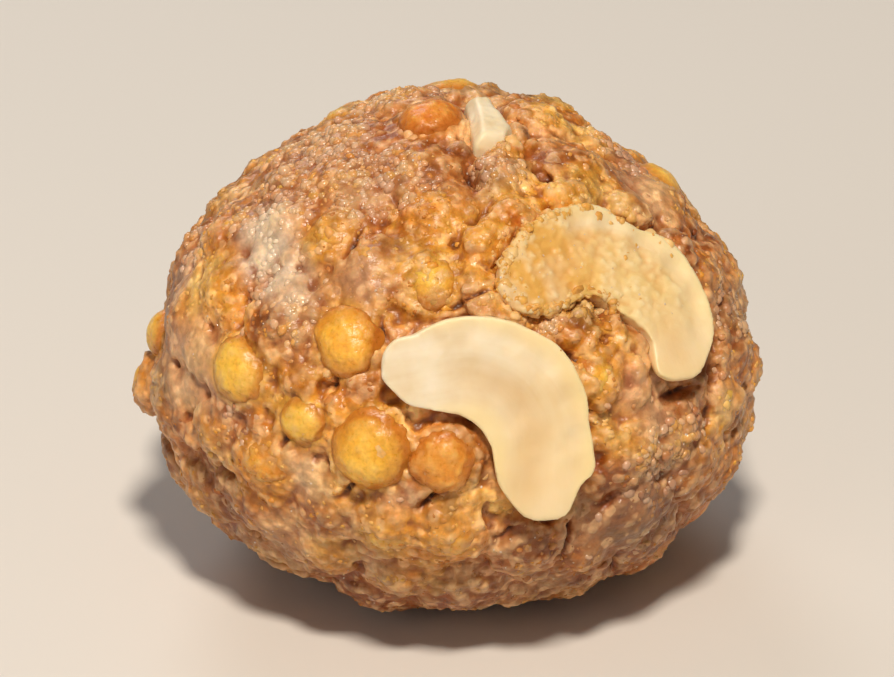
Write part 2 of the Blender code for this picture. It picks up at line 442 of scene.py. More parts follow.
def out_of(matrix, points):
    place = np.array(matrix)
    return points @ place[:3, :3].T + place[:3, 3]


# ---------------------------------------------------------------------------------------------
# Zones of the paste
# ---------------------------------------------------------------------------------------------

# Across, up, radius in millimetres and strength of the zones that show: where beads of syrup and
# sugar whiten the crumb, where palms smeared a smooth film (with a painted highlight along the
# upper edge), where the paste fried darker (with painted shade at the lower right and the edges),
# where it is yellow with crushed boondi, and where it crumbles.
SUGARED = (
    (-11.7, 17.0, 6.0, 1.0), (-6.9, 14.0, 5.0, 0.9), (-15.0, 11.5, 4.5, 1.0), (-15.2, 6.5, 4.0, 0.9),
    (-12.6, 2.0, 3.2, 0.8), (4.4, 14.8, 2.8, 1.0), (15.6, 16.4, 4.0, 0.7), (-4.0, 21.8, 4.5, 0.9),
    (24.6, 2.6, 4.0, 0.6), (18.5, -11.0, 4.5, 0.7), (-18.4, -7.6, 2.0, 0.8), (-21.5, 9.0, 4.0, 0.6),
    (9.0, 2.2, 2.2, 0.6), (-3.0, 13.0, 3.0, 0.5), (21.5, -8.0, 3.0, 0.6),
)
FILMED_AND_HIGHLIT = (
    (-16.0, 8.5, 3.6, 1.0), (-14.0, 4.8, 3.0, 0.8), (-22.6, -2.5, 5.5, 1.0), (-24.0, 4.0, 4.0, 0.7),
    (17.5, 13.0, 3.5, 0.8), (17.5, -4.5, 4.0, 0.8), (-7.0, 5.0, 3.0, 0.7), (-12.0, -12.5, 2.6, 0.7),
    (-14.0, -17.5, 3.5, 0.5), (-4.0, -14.0, 2.2, 0.6), (15.0, -16.5, 4.5, 0.7),
    # These two spots, along the upper edge, whiten it as a painted highlight where light catches that edge.
    (0.6, 22.4, 2.0, 0.8), (-9.5, 20.2, 2.4, 0.5),
)
# Darker spots where the paste fried darker, and painted shade at the lower right and along the left, right
# and upper left edges.
BROWNED_AND_SHADED = (
    (16.5, -16.0, 7.5, 1.0), (21.5, -12.5, 5.0, 0.6), (25.5, 2.0, 4.0, 0.6), (-20.0, -14.5, 5.0, 0.7),
    (2.8, 14.2, 1.6, 0.9), (-20.5, 13.0, 4.5, 0.8), (12.0, 2.2, 2.0, 1.0), (-1.0, -14.0, 2.6, 0.7),
    (6.5, -18.5, 4.0, 0.7), (-4.5, 8.5, 2.2, 0.5), (23.5, 9.5, 3.0, 0.6), (-9.0, -16.0, 3.5, 0.4),
    (-25.5, -4.0, 4.0, 0.6), (-25.0, 2.0, 3.5, 0.5), (4.2, 13.4, 1.6, 0.5), (22.5, -2.0, 3.0, 0.4),
)
GILDED = (
    (10.0, 19.5, 3.5, 1.0), (13.0, 17.0, 2.5, 0.6), (8.5, 10.8, 4.0, 1.0), (5.0, 8.0, 3.0, 0.8),
    (12.9, -2.0, 4.6, 1.0), (-20.8, 4.0, 5.0, 0.8), (-21.0, -1.0, 3.5, 0.5), (-2.5, -17.5, 4.5, 0.8),
    (-16.5, -12.0, 3.5, 0.9), (4.5, -14.6, 2.6, 0.9), (23.5, -9.0, 3.0, 0.7), (-0.5, 8.5, 4.0, 0.8),
    (-10.5, 8.5, 2.6, 0.8), (15.5, -3.5, 4.0, 0.7), (-9.0, 2.5, 2.4, 0.6), (8.5, 11.0, 5.5, 1.0),
    (13.2, 13.0, 3.6, 0.9), (4.4, 8.0, 5.0, 1.0), (6.0, 4.6, 3.6, 0.9), (10.2, 2.8, 3.4, 0.9),
    (5.6, 17.0, 2.6, 0.7), (11.5, -13.5, 2.5, 0.4), (15.0, -7.5, 3.6, 0.6),
    (-15.5, -5.0, 4.0, 0.6), (-10.0, -5.5, 4.0, 0.7), (-4.5, -6.0, 3.0, 0.6), (-9.0, -13.0, 3.5, 0.5),
    (-22.0, -7.0, 3.0, 0.5), (1.0, -14.0, 3.5, 0.6), (-19.5, 1.5, 4.0, 0.9), (-2.5, 10.5, 3.6, 0.9),
    (-4.0, 4.5, 3.6, 0.7), (-10.0, -19.0, 3.0, 0.5), (19.5, 13.0, 2.6, 0.5), (-2.0, -21.0, 3.0, 0.5),
)
CRUMBLY = (
    (12.5, 1.0, 4.0, 1.0), (14.5, -7.5, 4.0, 0.8), (-26.5, -4.5, 3.5, 1.0), (19.0, -9.0, 4.0, 0.7),
    (-9.0, 8.5, 4.0, 0.9), (6.5, 16.0, 3.5, 0.8), (-19.5, -8.5, 3.0, 0.8), (6.0, 21.0, 4.0, 0.7),
    (0.0, -15.5, 4.0, 0.8), (24.0, -3.0, 4.0, 0.8), (9.0, -18.5, 4.0, 0.6), (-4.5, 1.5, 2.6, 0.8),
    (7.5, 11.0, 3.5, 0.9), (9.0, 2.5, 2.5, 1.0), (-16.0, -11.0, 3.0, 0.9),
)
ZONES = {
    "sugar": (SUGARED, SEED + 11), "film": (FILMED_AND_HIGHLIT, SEED + 12), "browned_and_shaded": (BROWNED_AND_SHADED, SEED + 13),
    "crumbly": (CRUMBLY, SEED + 15), "gilded": (GILDED, SEED + 18),
}
HIDDEN_SPOTS = 26  # thrown of each kind, and kept on the sides and back
FOOT_TOP, FOOT_BOTTOM = 16 * MM, 5 * MM  # between these heights the foot darkens, painted shade


def zone(points, kind):
    """How strongly each point belongs to a kind of zone: the spots that show, and others like them
    behind. The foot is darkened all round, painted shade."""
    spots, seed = ZONES[kind]
    rng = random.Random(seed)
    places = [(core_point(toward_spot(across, up)), size * MM, share) for across, up, size, share in spots]
    shown = toward_spot(0, 0)
    for _ in range(HIDDEN_SPOTS):
        toward = random_toward(rng)
        size, share = rng.uniform(3, 7) * MM, rng.uniform(0.4, 1)
        if toward.dot(shown) < 0.1:
            places.append((core_point(toward), size, share))
    weight = np.zeros(len(points))
    for place, size, share in places:
        far = np.linalg.norm(points - np.array(place), axis=1)
        weight = np.maximum(weight, share * (1 - smooth_step(0.45 * size, 1.25 * size, far)))
    # Painted shade: the foot darkens all round towards the floor.
    if kind == "browned_and_shaded":
        weight = np.maximum(weight, 0.85 * smooth_step(FOOT_TOP, FOOT_BOTTOM, points[:, 2]))
    return weight


# ---------------------------------------------------------------------------------------------
# Cashew
# ---------------------------------------------------------------------------------------------

KERNEL_CUTS = 30
KERNEL_VOXEL = 0.2 * MM
KERNEL_RELIEF = (("CLOUDS", 6 * MM, 0.4 * MM), ("CLOUDS", 1.8 * MM, 0.08 * MM))
FILM_RELIEF = (
    ("CLOUDS", 2.8 * MM, 0.5 * MM), ("VORONOI", 0.8 * MM, -0.25 * MM), ("CLOUDS", 0.5 * MM, 0.2 * MM),
)
BEND_REACH = tuple(0.5 + side * CASHEW_BEND_RADIUS * CASHEW_BEND / 2 / CASHEW_LENGTH for side in (-1, 1))


def kernel_share(along):
    """How much of its full width and depth half a kernel has at a place along it."""
    return np.clip(1 - np.abs(along / (CASHEW_LENGTH / 2)) ** CASHEW_BLUNT, 0, 1) ** (1 / CASHEW_BLUNT)


def kernel_model():
    """Half a kernel: a bar with a round belly, drawn in towards its ends, pressed and bent."""
    bpy.ops.mesh.primitive_cylinder_add(vertices=40, radius=0.5, depth=1, rotation=(0, math.pi / 2, 0))
    kernel = bpy.context.object
    bpy.ops.object.transform_apply(location=False, rotation=True, scale=False)
    kernel.data.transform(Matrix.Diagonal((CASHEW_LENGTH, CASHEW_WIDTH, 2 * CASHEW_DEPTH, 1)))
    edit_all(kernel)
    bpy.ops.mesh.bisect(plane_co=(0, 0, 0), plane_no=(0, 0, 1), use_fill=True, clear_outer=True)
    choose_edges(kernel, lambda a, b: min(a.z, b.z) > -0.01 * MM)
    bpy.ops.transform.translate(value=(0, 0, CASHEW_CROWN))
    cuts = [-math.cos(math.pi * cut / KERNEL_CUTS) * CASHEW_LENGTH / 2 for cut in range(KERNEL_CUTS + 1)]
    for cut in cuts[1:-1]:
        bpy.ops.mesh.select_all(action="SELECT")
        bpy.ops.mesh.bisect(plane_co=(cut, 0, 0), plane_no=(1, 0, 0))
    for line in range(-5, 6):
        bpy.ops.mesh.select_all(action="SELECT")
        bpy.ops.mesh.bisect(plane_co=(0, line * CASHEW_WIDTH / 12, 0), plane_no=(0, 1, 0))
    for cut in cuts:
        share = max(kernel_share(cut), 0.03)
        wide = 1 + CASHEW_TAPER * cut / (CASHEW_LENGTH / 2)
        choose_edges(kernel, lambda a, b: max(abs(a.x - cut), abs(b.x - cut)) < 0.02 * MM)
        bpy.ops.transform.resize(value=(1, share * wide, share), center_override=(cut, 0, 0))
    close_edit()
    finish_modifier(kernel, "SIMPLE_DEFORM", deform_method="BEND", deform_axis="Z",
                    angle=-CASHEW_BEND, limits=BEND_REACH)
    kernel.data.transform(Matrix.Translation((0, CASHEW_BALANCE, 0)))
    return kernel


def straightened(points):
    """Along, aside and height of points in a kernel's frame, as if it were not bent."""
    x, y = points[:, 0], points[:, 1] - (CASHEW_BALANCE - CASHEW_BEND_RADIUS)
    angle = np.clip(np.arctan2(x, y), -CASHEW_BEND / 2, CASHEW_BEND / 2)
    onward = x * np.cos(angle) - y * np.sin(angle)
    outward = x * np.sin(angle) + y * np.cos(angle)
    return angle * CASHEW_BEND_RADIUS + onward, outward - CASHEW_BEND_RADIUS, points[:, 2]


# Where the halves' edges bulge or draw in: along, aside, push aside and its reach in millimetres.
KERNEL_WEAR = {
    "cashew_front": (
        (-11.3, 2.4, 0.6, 2.5), (0.3, 4.6, 0.3, 3.5), (4.5, 4.6, -0.4, 2.6), (7.6, 4.1, 0.5, 1.8),
        (12.1, 1.9, 0.6, 2.6), (11.6, -2.2, 0.5, 2.6), (0.0, -4.6, -0.35, 5.0), (-12.0, -1.5, 0.6, 2.0),
    ),
    "cashew_side": (
        (0.4, 4.6, -0.9, 4.0), (7.8, -4.2, 1.2, 3.0), (11.8, -2.2, -0.9, 2.2), (11.6, 2.2, -0.7, 3.0),
        (-4.0, -4.4, 0.6, 3.0),
    ),
    "cashew_back": ((5.0, 4.5, -0.5, 3.0), (-8.0, -3.6, 0.5, 2.5), (11.0, 2.6, 0.4, 2.0)),
}
# Where their split faces are pressed in: along, aside, depth and its reach in millimetres.
KERNEL_PRESSES = {
    "cashew_front": (
        (-5.5, -0.2, 0.25, 2.6), (-2.5, -0.8, 0.35, 3.0), (0.5, -1.4, 0.45, 3.2), (3.5, -1.2, 0.45, 3.2),
        (6.5, -0.6, 0.4, 2.8), (9.0, -0.4, 0.25, 2.4), (-7.5, 2.4, 0.18, 1.4), (-5.0, 2.8, 0.18, 1.4),
        (-2.4, 3.0, 0.18, 1.4), (0.2, 3.0, 0.18, 1.4), (2.8, 3.0, 0.18, 1.4), (5.4, 2.9, 0.18, 1.4),
        (8.0, 2.6, 0.15, 1.4),
    ),
    "cashew_side": (
        (-3.0, 2.5, 0.25, 1.6), (-1.0, 2.6, 0.3, 1.6), (1.5, 2.7, 0.35, 1.6), (4.0, 2.7, 0.35, 1.6),
        (6.5, 2.5, 0.35, 1.6), (8.8, 2.2, 0.25, 1.6),
    ),
    "cashew_back": (
        (-4.0, -0.6, 0.3, 2.8), (-1.0, -1.2, 0.4, 3.0), (2.0, -1.2, 0.4, 3.0), (5.0, -0.6, 0.3, 2.8),
    ),
}


def kernel_film(name, along, aside):
    """How much crumb and syrup cover a half's split face: not its outer rim and last tip."""
    if name == "cashew_front":
        return np.zeros(len(along))
    body = smooth_step(10 * MM, 4 * MM, along)
    off_rim = smooth_step(3.4 * MM, 1.6 * MM, aside)
    first_arm = smooth_step(-1.5 * MM, -5 * MM, along)
    return body * np.maximum(off_rim, first_arm)


def kernel_lapped(name, along, aside):
    """Where crumb laps over the edge of the side half's first arm."""
    if name != "cashew_side":
        return np.zeros(len(along), bool)
    return ((along < -1 * MM) & (np.abs(aside) > 2.6 * MM)) | (along < -10.5 * MM)


def kernel_half_width(along):
    """Half the width of a half kernel, as modelled."""
    return CASHEW_WIDTH / 2 * kernel_share(along) * (1 + CASHEW_TAPER * along / (CASHEW_LENGTH / 2))


def worn_width(name, along, aside):
    """Half the width of a half kernel on the side of its axis where each point lies, as worn."""
    width = kernel_half_width(along)
    for worn_along, worn_aside, push, reach in KERNEL_WEAR[name]:
        near = smooth_step(reach * MM, 0, np.abs(along - worn_along * MM)) * (aside * worn_aside > 0)
        width = width + near * push * MM * (1 if worn_aside > 0 else -1)
    return width


CHIP_FOOT = (4.6, 17.4)  # across and up, in millimetres
SIDE_SEAT = dict(cashew_seats())["cashew_side"]
ARM_END = SIDE_SEAT @ bent(-CASHEW_LENGTH / 2, 0)  # of the side half's first arm, which crumb laps over


def kernel_cover(points):
    """For each point, whether it lies on a kernel's split face, how filmed that place is, and how
    near it is to the edge that crumb laps over."""
    halves = dict(cashew_seats())
    width, length, _ = CHIP_SIZE
    local = np.abs(into(halves.pop("cashew_chip"), points))
    on_face = (local[:, 0] < 0.6 * width) & (local[:, 1] < 0.5 * length)
    film = np.zeros(len(points))
    for name, seated in halves.items():
        along, aside, height = straightened(into(seated, points))
        here = (np.abs(aside) < kernel_half_width(along) + 0.2 * MM) & (np.abs(height) < 3 * MM)
        on_face |= here
        film[here] = kernel_film(name, along, aside)[here]
        if name == "cashew_front":
            bare_half = here
        if name == "cashew_side":
            off_edge = np.abs(np.abs(aside) - kernel_half_width(along))
            near_edge = smooth_step(1.7 * MM, 0.7 * MM, off_edge) * smooth_step(4 * MM, 0, along)
            near_edge *= (along > -12.5 * MM) & (np.abs(height) < 4 * MM)
    off_end = np.linalg.norm(points - np.array(ARM_END), axis=1)
    off_foot = np.linalg.norm(points - np.array(core_point(toward_spot(*CHIP_FOOT))), axis=1)
    lapped = np.maximum(near_edge, smooth_step(3.4 * MM, 2.4 * MM, off_end))
    lapped = np.maximum(lapped, smooth_step(2.4 * MM, 1.4 * MM, off_foot))
    film[bare_half], lapped[bare_half] = 0, 0  # nothing lies on the front half
    return on_face, film, lapped


def nudge(obj, place, move, reach):
    """Pulls the surface near a place, and less and less further off."""
    edit_all(obj)
    near = sorted((vertex.co - place).length for vertex in obj.data.vertices)[6]
    choose_edges(obj, lambda a, b: max((a - place).length, (b - place).length) <= near)
    bpy.ops.transform.translate(value=move, use_proportional_edit=True,
                                proportional_edit_falloff="SMOOTH", proportional_size=reach)
    close_edit()


def make_kernels():
    """The three halves, each worn and uneven in its own way, and how filmed each point is."""
    model = kernel_model()
    finish_modifier(model, "REMESH", mode="VOXEL", voxel_size=KERNEL_VOXEL)
    finish_modifier(model, "SMOOTH", factor=0.5, iterations=3)
    kernels = {}
    for name, seated in cashew_seats():
        if name == "cashew_chip":
            continue
        kernel = place_copy(model, seated)
        kernel.name = kernel.data.name = name.replace("cashew", "kernel")
        for along, aside, push, reach in KERNEL_WEAR[name]:
            place = seated @ bent(along * MM, aside * MM)
            nudge(kernel, place, seated @ bent(along * MM, (aside + push) * MM) - place, reach * MM)
        outwards = (seated.to_3x3() @ Vector((0, 0, 1))).normalized()
        for along, aside, depth, reach in KERNEL_PRESSES[name]:
            place = seated @ (bent(along * MM, aside * MM) + Vector((0, 0, CASHEW_CROWN)))
            nudge(kernel, place, -depth * MM * outwards, reach * MM)
        roughen(kernel, KERNEL_RELIEF)
        along, aside, height = straightened(into(seated, points_of(kernel)))
        film = kernel_film(name, along, aside) * smooth_step(-1.5 * MM, 0, height)
        smooth_points = points_of(kernel)
        roughen(kernel, FILM_RELIEF, film)
        raised = ((points_of(kernel) - smooth_points) * normals_of(kernel)).sum(1)
        store(kernel, "along", along / CASHEW_LENGTH + 0.5)
        store(kernel, "aside", aside / CASHEW_WIDTH + 0.5)
        # The rim, which the material makes paler, partly its broken edge and partly a painted highlight.
        rim = smooth_step(0.26, 0.46, np.abs(aside) / CASHEW_WIDTH)
        store(kernel, "rim", rim * smooth_step(-1.2 * MM, 0, height))
        store(kernel, "under", smooth_step(-0.3 * MM, -1.4 * MM, height))
        # The pressed hollow, which the material tints with painted shade.
        hollow = np.exp(-((aside / MM + 0.9) / 1.5) ** 2) * smooth_step(-9 * MM, -1 * MM, along)
        store(kernel, "hollow", hollow * smooth_step(12.5 * MM, 9 * MM, along) * (height > -0.5 * MM))
        store(kernel, "film", film)
        # How raised the film is, which the material turns into a painted highlight on crests and painted
        # shade in dips.
        store(kernel, "raised", raised / (0.1 * MM))
        kernel.data.shade_smooth()
        kernels[name] = kernel
    remove(model)
    return kernels


CHIP_VOXEL = 0.17 * MM
CHIP_EDGE = 0.22 * MM
CHIP_RELIEF = (("CLOUDS", 2.5 * MM, 0.5 * MM), ("CLOUDS", 0.6 * MM, 0.08 * MM))
# Where its corners snapped off: a point of each new face in millimetres, and the way the face looks.
CHIP_SNAPS = (
    ((0.9, 0, 2.2), (0.83, 0.12, 0.55)), ((-1.1, 0, 2.2), (-0.88, 0.11, 0.46)),
    ((0, -3.5, 2.2), (0.1, -0.9, 0.42)), ((1.2, -1.9, 2.2), (0.87, -0.4, 0.29)),
    ((0, 3.6, 2.2), (-0.1, 0.75, 0.65)),
)


def make_chip():
    """A broken chip: a wedge with a few snapped corners."""
    bpy.ops.mesh.primitive_cube_add(size=1)
    chip = bpy.context.object
    chip.name = chip.data.name = "kernel_chip"
    chip.data.transform(Matrix.Diagonal((*CHIP_SIZE, 1)))
    edit_all(chip)
    choose_edges(chip, lambda a, b: min(a.y, b.y) > 0)
    bpy.ops.transform.resize(value=(CHIP_NARROW_END, 1, 1))
    for place, outwards in CHIP_SNAPS:
        bpy.ops.mesh.select_all(action="SELECT")
        bpy.ops.mesh.bisect(plane_co=MM * Vector(place), plane_no=outwards, use_fill=True, clear_outer=True)
    close_edit()
    finish_modifier(chip, "BEVEL", width=CHIP_EDGE, segments=2, limit_method="ANGLE")
    finish_modifier(chip, "REMESH", mode="VOXEL", voxel_size=CHIP_VOXEL)
    finish_modifier(chip, "SMOOTH", factor=0.5, iterations=3)
    chip.data.transform(dict(cashew_seats())["cashew_chip"])
    roughen(chip, CHIP_RELIEF)
    # The whole chip takes a little of the rim's paler tint, which is partly a painted highlight.
    for name in ("along", "aside", "rim", "under", "hollow", "film", "raised"):
        store(chip, name, np.full(len(chip.data.vertices), 0.3 if name == "rim" else 0.0))
    chip.data.shade_smooth()
    return chip


# ---------------------------------------------------------------------------------------------
# Paste
# ---------------------------------------------------------------------------------------------

CORE_SINK = 0.95 * MM
VOXEL = 0.37 * MM
LUMP_DIAMETERS = (6.5 * MM, 1.5 * MM)
LUMP_THROWS = 5200
LUMP_SPACING = 0.80
LUMP_PROUD = (-0.4 * MM, 0.3 * MM)
LUMP_PRESSED = -0.3 * MM
PASTE_WAVES = (("CLOUDS", 3.2 * MM, 0.45 * MM),)
PASTE_CRUMB = (("VORONOI", 2.2 * MM, -0.4 * MM), ("VORONOI", 1.1 * MM, -0.5 * MM))
PASTE_GRAIN = (("CLOUDS", 0.9 * MM, 0.2 * MM),)

# Across and up, length and width, turn in degrees and depth of the crevices that show.
CREVICES = (
    (13.8, 2.9, 2.6, 1.5, 60, 1.8), (2.3, 14.6, 3.0, 1.3, 70, 2.0), (-9.8, -3.4, 2.2, 1.0, 30, 1.2),
    (-5.2, -0.2, 2.4, 0.9, 55, 1.0), (21.0, -4.6, 3.0, 0.7, -15, 0.7), (3.2, -7.4, 5.0, 0.9, -40, 1.0),
    (12.8, -6.0, 1.5, 0.9, 80, 1.2), (-14.2, -8.9, 2.0, 0.8, 20, 1.0), (-1.5, -14.2, 3.0, 1.0, 10, 1.1),
    (-3.3, -10.8, 2.6, 0.8, 75, 1.2), (-8.7, -13.3, 2.4, 0.7, 20, 1.0), (-5.8, 0.6, 2.6, 0.9, 60, 1.2),
    (10.5, -18.0, 5.0, 0.7, 40, 1.0), (14.8, -20.2, 5.0, 0.7, 55, 1.0), (-8.0, 8.6, 3.5, 0.8, 30, 0.8),
    (5.5, -17.2, 2.5, 0.9, 0, 1.0), (-14.5, -20.0, 5.0, 0.7, -25, 1.0), (7.5, -23.0, 6.0, 0.8, 5, 1.1),
    (11.6, -1.8, 4.6, 1.0, -68, 1.4), (12.4, -7.4, 4.0, 0.9, -85, 1.3), (2.0, 3.4, 6.0, 0.8, -12, 1.0),
)


def lump_places():
    """Squashed and broken boondi that the paste is made of: direction, diameter and rise."""
    rng = random.Random(SEED + 2)
    shown = [(core_point(toward), size) for toward, size, *_ in PEARLS]
    centres, sizes, places = [], [], []
    throws = [random_toward(rng) for _ in range(LUMP_THROWS)]
    thrown = np.array([core_point(toward)[:] for toward in throws])
    pressed = np.maximum(zone(thrown, "sugar"), zone(thrown, "film")).tolist()
    for throw, toward in enumerate(throws):
        share = throw / LUMP_THROWS
        size = LUMP_DIAMETERS[0] + (LUMP_DIAMETERS[1] - LUMP_DIAMETERS[0]) * share**0.6
        rise = rng.uniform(*LUMP_PROUD)
        rise += (LUMP_PRESSED - rise) * 0.8 * pressed[throw]
        here = core_point(toward)
        if any((here - place).length < 0.42 * (pearl + 0.6 * size) for place, pearl in shown):
            continue
        if any((here - at).length < 0.45 * size + half for at, half in CASHEW_POINTS):
            continue
        if centres:
            far = np.linalg.norm(np.array(centres) - np.array(here), axis=1)
            if (far < LUMP_SPACING * (np.array(sizes) + size) / 2).any():
                continue
        centres.append(here[:])
        sizes.append(size)
        places.append((toward, size, rise))
    return places


LUMPS = lump_places()


def lumps(ball):
    rng = random.Random(SEED + 3)
    for toward, size, rise in LUMPS:
        thick = size * rng.uniform(0.45, 0.7)
        shape = Matrix.Diagonal((size / 2 * 1.08, size / 2 * rng.uniform(0.75, 1.05), thick / 2, 1))
        tilt = Euler((rng.gauss(0, 0.16), rng.gauss(0, 0.16), 0)).to_matrix().to_4x4()
        yield place_copy(ball, seat(toward, rise - thick / 2, rng.uniform(0, 360)) @ tilt @ shape)


def collars(ball):
    """Paste squeezed up round each pearl, and smeared over those that it covers."""
    rng = random.Random(SEED + 4)
    for (toward, size, proud, _, cover, side), shape in zip(PEARLS, PEARL_SHAPES):
        wide = size / 2 + 0.7 * MM
        top = proud * (0.1 + 0.5 * cover)
        yield place_copy(ball, seat(toward, top - 0.9 * MM) @ Matrix.Diagonal((wide, wide, 0.9 * MM, 1)))
        if cover > BARE:
            aside = (1 - cover) * 0.45 * size
            turn = math.radians(side)
            lapped = seat(toward, 0) @ Vector((aside * math.cos(turn), aside * math.sin(turn), -0.15 * aside))
            grown = Matrix.Translation(lapped - core_point(toward)) @ shape
            yield place_copy(ball, grown @ Matrix.Scale(1.03 + 0.05 * rng.random(), 4))


# Crumb heaped against the cashews and in low places: across, up, diameter and rise in millimetres.
HEAPED = (
    (5.4, 16.9, 2.8, 0.7), (4.3, 16.2, 1.8, 0.5), (6.2, 18.4, 2.2, 0.6), (0.9, 17.2, 2.2, 0.3),
    (1.8, 22.4, 2.6, 0.5), (12.6, 0.2, 2.6, 0.5), (11.6, 2.0, 1.8, 0.5), (14.3, -1.6, 2.4, 0.4),
    (9.4, 3.0, 2.0, 0.4), (7.0, 3.6, 2.2, 0.4), (5.0, 4.4, 2.4, 0.4), (13.9, -8.6, 2.0, 0.5),
    (19.6, -12.2, 2.8, -0.1), (-0.6, -21.2, 2.4, -0.1), (17.0, -0.2, 2.8, 0.35), (17.2, -2.4, 2.6, 0.3),
    (20.8, -6.0, 2.8, 0.25),
)


def heaps(ball):
    rng = random.Random(SEED + 21)
    for across, up, size, rise in HEAPED:
        shape = Matrix.Diagonal((size / 2 * MM, size / 2 * rng.uniform(0.75, 1) * MM, 0.4 * size * MM, 1))
        seated = seat(toward_spot(across, up), (rise - 0.4 * size) * MM, rng.uniform(0, 360))
        yield place_copy(ball, seated @ shape)


SMEARS = 5  # to each filmed spot that shows


def films(ball):
    """Smooth smears that palms left."""
    rng = random.Random(SEED + 5)
    for across, up, size, share in FILMED_AND_HIGHLIT:
        for _ in range(SMEARS):
            off = Vector((rng.gauss(0, 0.3), rng.gauss(0, 0.3))) * size
            toward = toward_spot(across + off.x, up + off.y)
            wide = rng.uniform(0.35, 0.65) * size * MM
            if any((core_point(toward) - at).length < 0.8 * wide + half for at, half in CASHEW_POINTS):
                continue
            flat = Matrix.Diagonal((wide, wide * rng.uniform(0.6, 1), 0.8 * MM, 1))
            yield place_copy(ball, seat(toward, -0.7 * MM + 0.25 * MM * share, rng.uniform(0, 360)) @ flat)


# Crumb drawn up along the edges of the side half: along and aside in its frame, length, width
# and how high it stands over the split face, in millimetres.
BANKED = (
    (-9.5, 4.9, 6.0, 4.0, -0.6), (-6.0, 5.2, 6.0, 4.0, -0.5), (-2.8, 5.6, 5.6, 3.6, -0.5),
    (0.4, 5.8, 5.0, 3.2, -0.5), (3.4, 5.8, 4.6, 2.8, -0.5), (-13.0, 0.0, 5.0, 8.0, -0.6),
    (-8.5, -4.8, 6.0, 3.8, -0.55), (-4.5, -5.2, 5.2, 3.4, -0.45), (-1.6, -5.4, 4.4, 2.8, -0.35),
    (4.4, -5.5, 4.0, 2.4, 0.0), (7.2, -5.4, 4.0, 2.4, 0.0), (10.0, -4.8, 3.6, 2.0, -0.3),
)


def banks(ball):
    for along, aside, length, width, height in BANKED:
        place = bent(along * MM, aside * MM)
        turn = Matrix.Rotation(-max(-1, min(1, along / 6.4)) * CASHEW_BEND / 2, 4, "Z")
        shape = Matrix.Diagonal((length / 2 * MM, width / 2 * MM, 1.4 * MM, 1))
        rise = Matrix.Translation((0, 0, CASHEW_CROWN + height * MM - 1.4 * MM))
        yield place_copy(ball, SIDE_SEAT @ Matrix.Translation(place) @ rise @ turn @ shape)


def clear_pearls(points):
    """Draws the paste back under each pearl that shows, leaving a crevice round it."""
    for (*_, cover, _), shape in zip(PEARLS, PEARL_SHAPES):
        if cover > BARE:
            continue
        local = into(shape, points)
        radius = np.linalg.norm(local, axis=1)
        near = (radius < 1.08) & (local[:, 2] > -0.4)
        local[near] *= (0.98 / radius[near])[:, None]
        points[near] = out_of(shape, local[near])
    return points


def clear_kernels(points):
    """Keeps the paste under each kernel's split face."""
    for name, seated in cashew_seats():
        local = into(seated, points)
        if name == "cashew_chip":
            width, length, depth = CHIP_SIZE
            narrow = 1 + (CHIP_NARROW_END - 1) * np.clip(local[:, 1] / length + 0.5, 0, 1)
            inside = (np.abs(local[:, 0]) < 0.44 * width * narrow) & (np.abs(local[:, 1]) < 0.44 * length)
            inside &= (local[:, 2] > -depth / 2) & (local[:, 2] < depth)
            local[inside, 2] = -0.8 * depth / 2
        else:
            along, aside, height = straightened(local)
            bare = ~kernel_lapped(name, along, aside)
            inside = (np.abs(aside) < 0.92 * worn_width(name, along, aside)) & (height > -1.8 * MM)
            inside &= (height < CASHEW_CROWN) | (bare & (height < 4 * MM))
            local[inside, 2] = -1.8 * MM
        points[inside] = out_of(seated, local[inside])
    return points


def cut_crevices(obj):
    points = points_of(obj)
    for across, up, length, width, turn, depth in CREVICES:
        toward = toward_spot(across, up)
        local = into(seat(toward, 0, turn), points)
        bow = 0.25 * length * MM * np.sin(local[:, 0] / (length * MM) * 3.1)
        reach = (local[:, 0] / (length / 2 * MM)) ** 2 + ((local[:, 1] - bow) / (width / 2 * MM)) ** 2
        depths = depth * MM * np.exp(-1.2 * reach) * (np.abs(local[:, 2]) < 4 * MM)
        points -= depths[:, None] * np.array(core_normal(toward))
    set_points(obj, points)


def make_paste():
    """One crumbly body over the core: its bits joined, remeshed and roughened, with room for the
    pearls and cashews, and cut off at the flat spot."""
    core = add_ball(6)
    for vertex in core.data.vertices:
        toward = vertex.co.normalized()
        vertex.co = core_point(toward) - CORE_SINK * toward
    ball = add_ball(3)
    bits = (*collars(ball), *lumps(ball), *heaps(ball), *films(ball), *banks(ball))
    paste = join([*bits, core], "paste")
    remove(ball)
    finish_modifier(paste, "REMESH", mode="VOXEL", voxel_size=VOXEL)
    finish_modifier(paste, "SMOOTH", factor=0.5, iterations=2)
    crumbly = 1 - 0.85 * zone(points_of(paste), "film")
    roughen(paste, PASTE_WAVES)
    roughen(paste, PASTE_CRUMB, crumbly)
    roughen(paste, PASTE_GRAIN)
    cut_crevices(paste)
    set_points(paste, clear_kernels(clear_pearls(points_of(paste))))
    edit_all(paste)
    bpy.ops.mesh.bisect(plane_co=(0, 0, 0), plane_no=(0, 0, -1), use_fill=True, clear_outer=True,
                        threshold=0.001 * MM)
    close_edit()
    paste.data.shade_smooth()
    colour_paste(paste)
    return paste


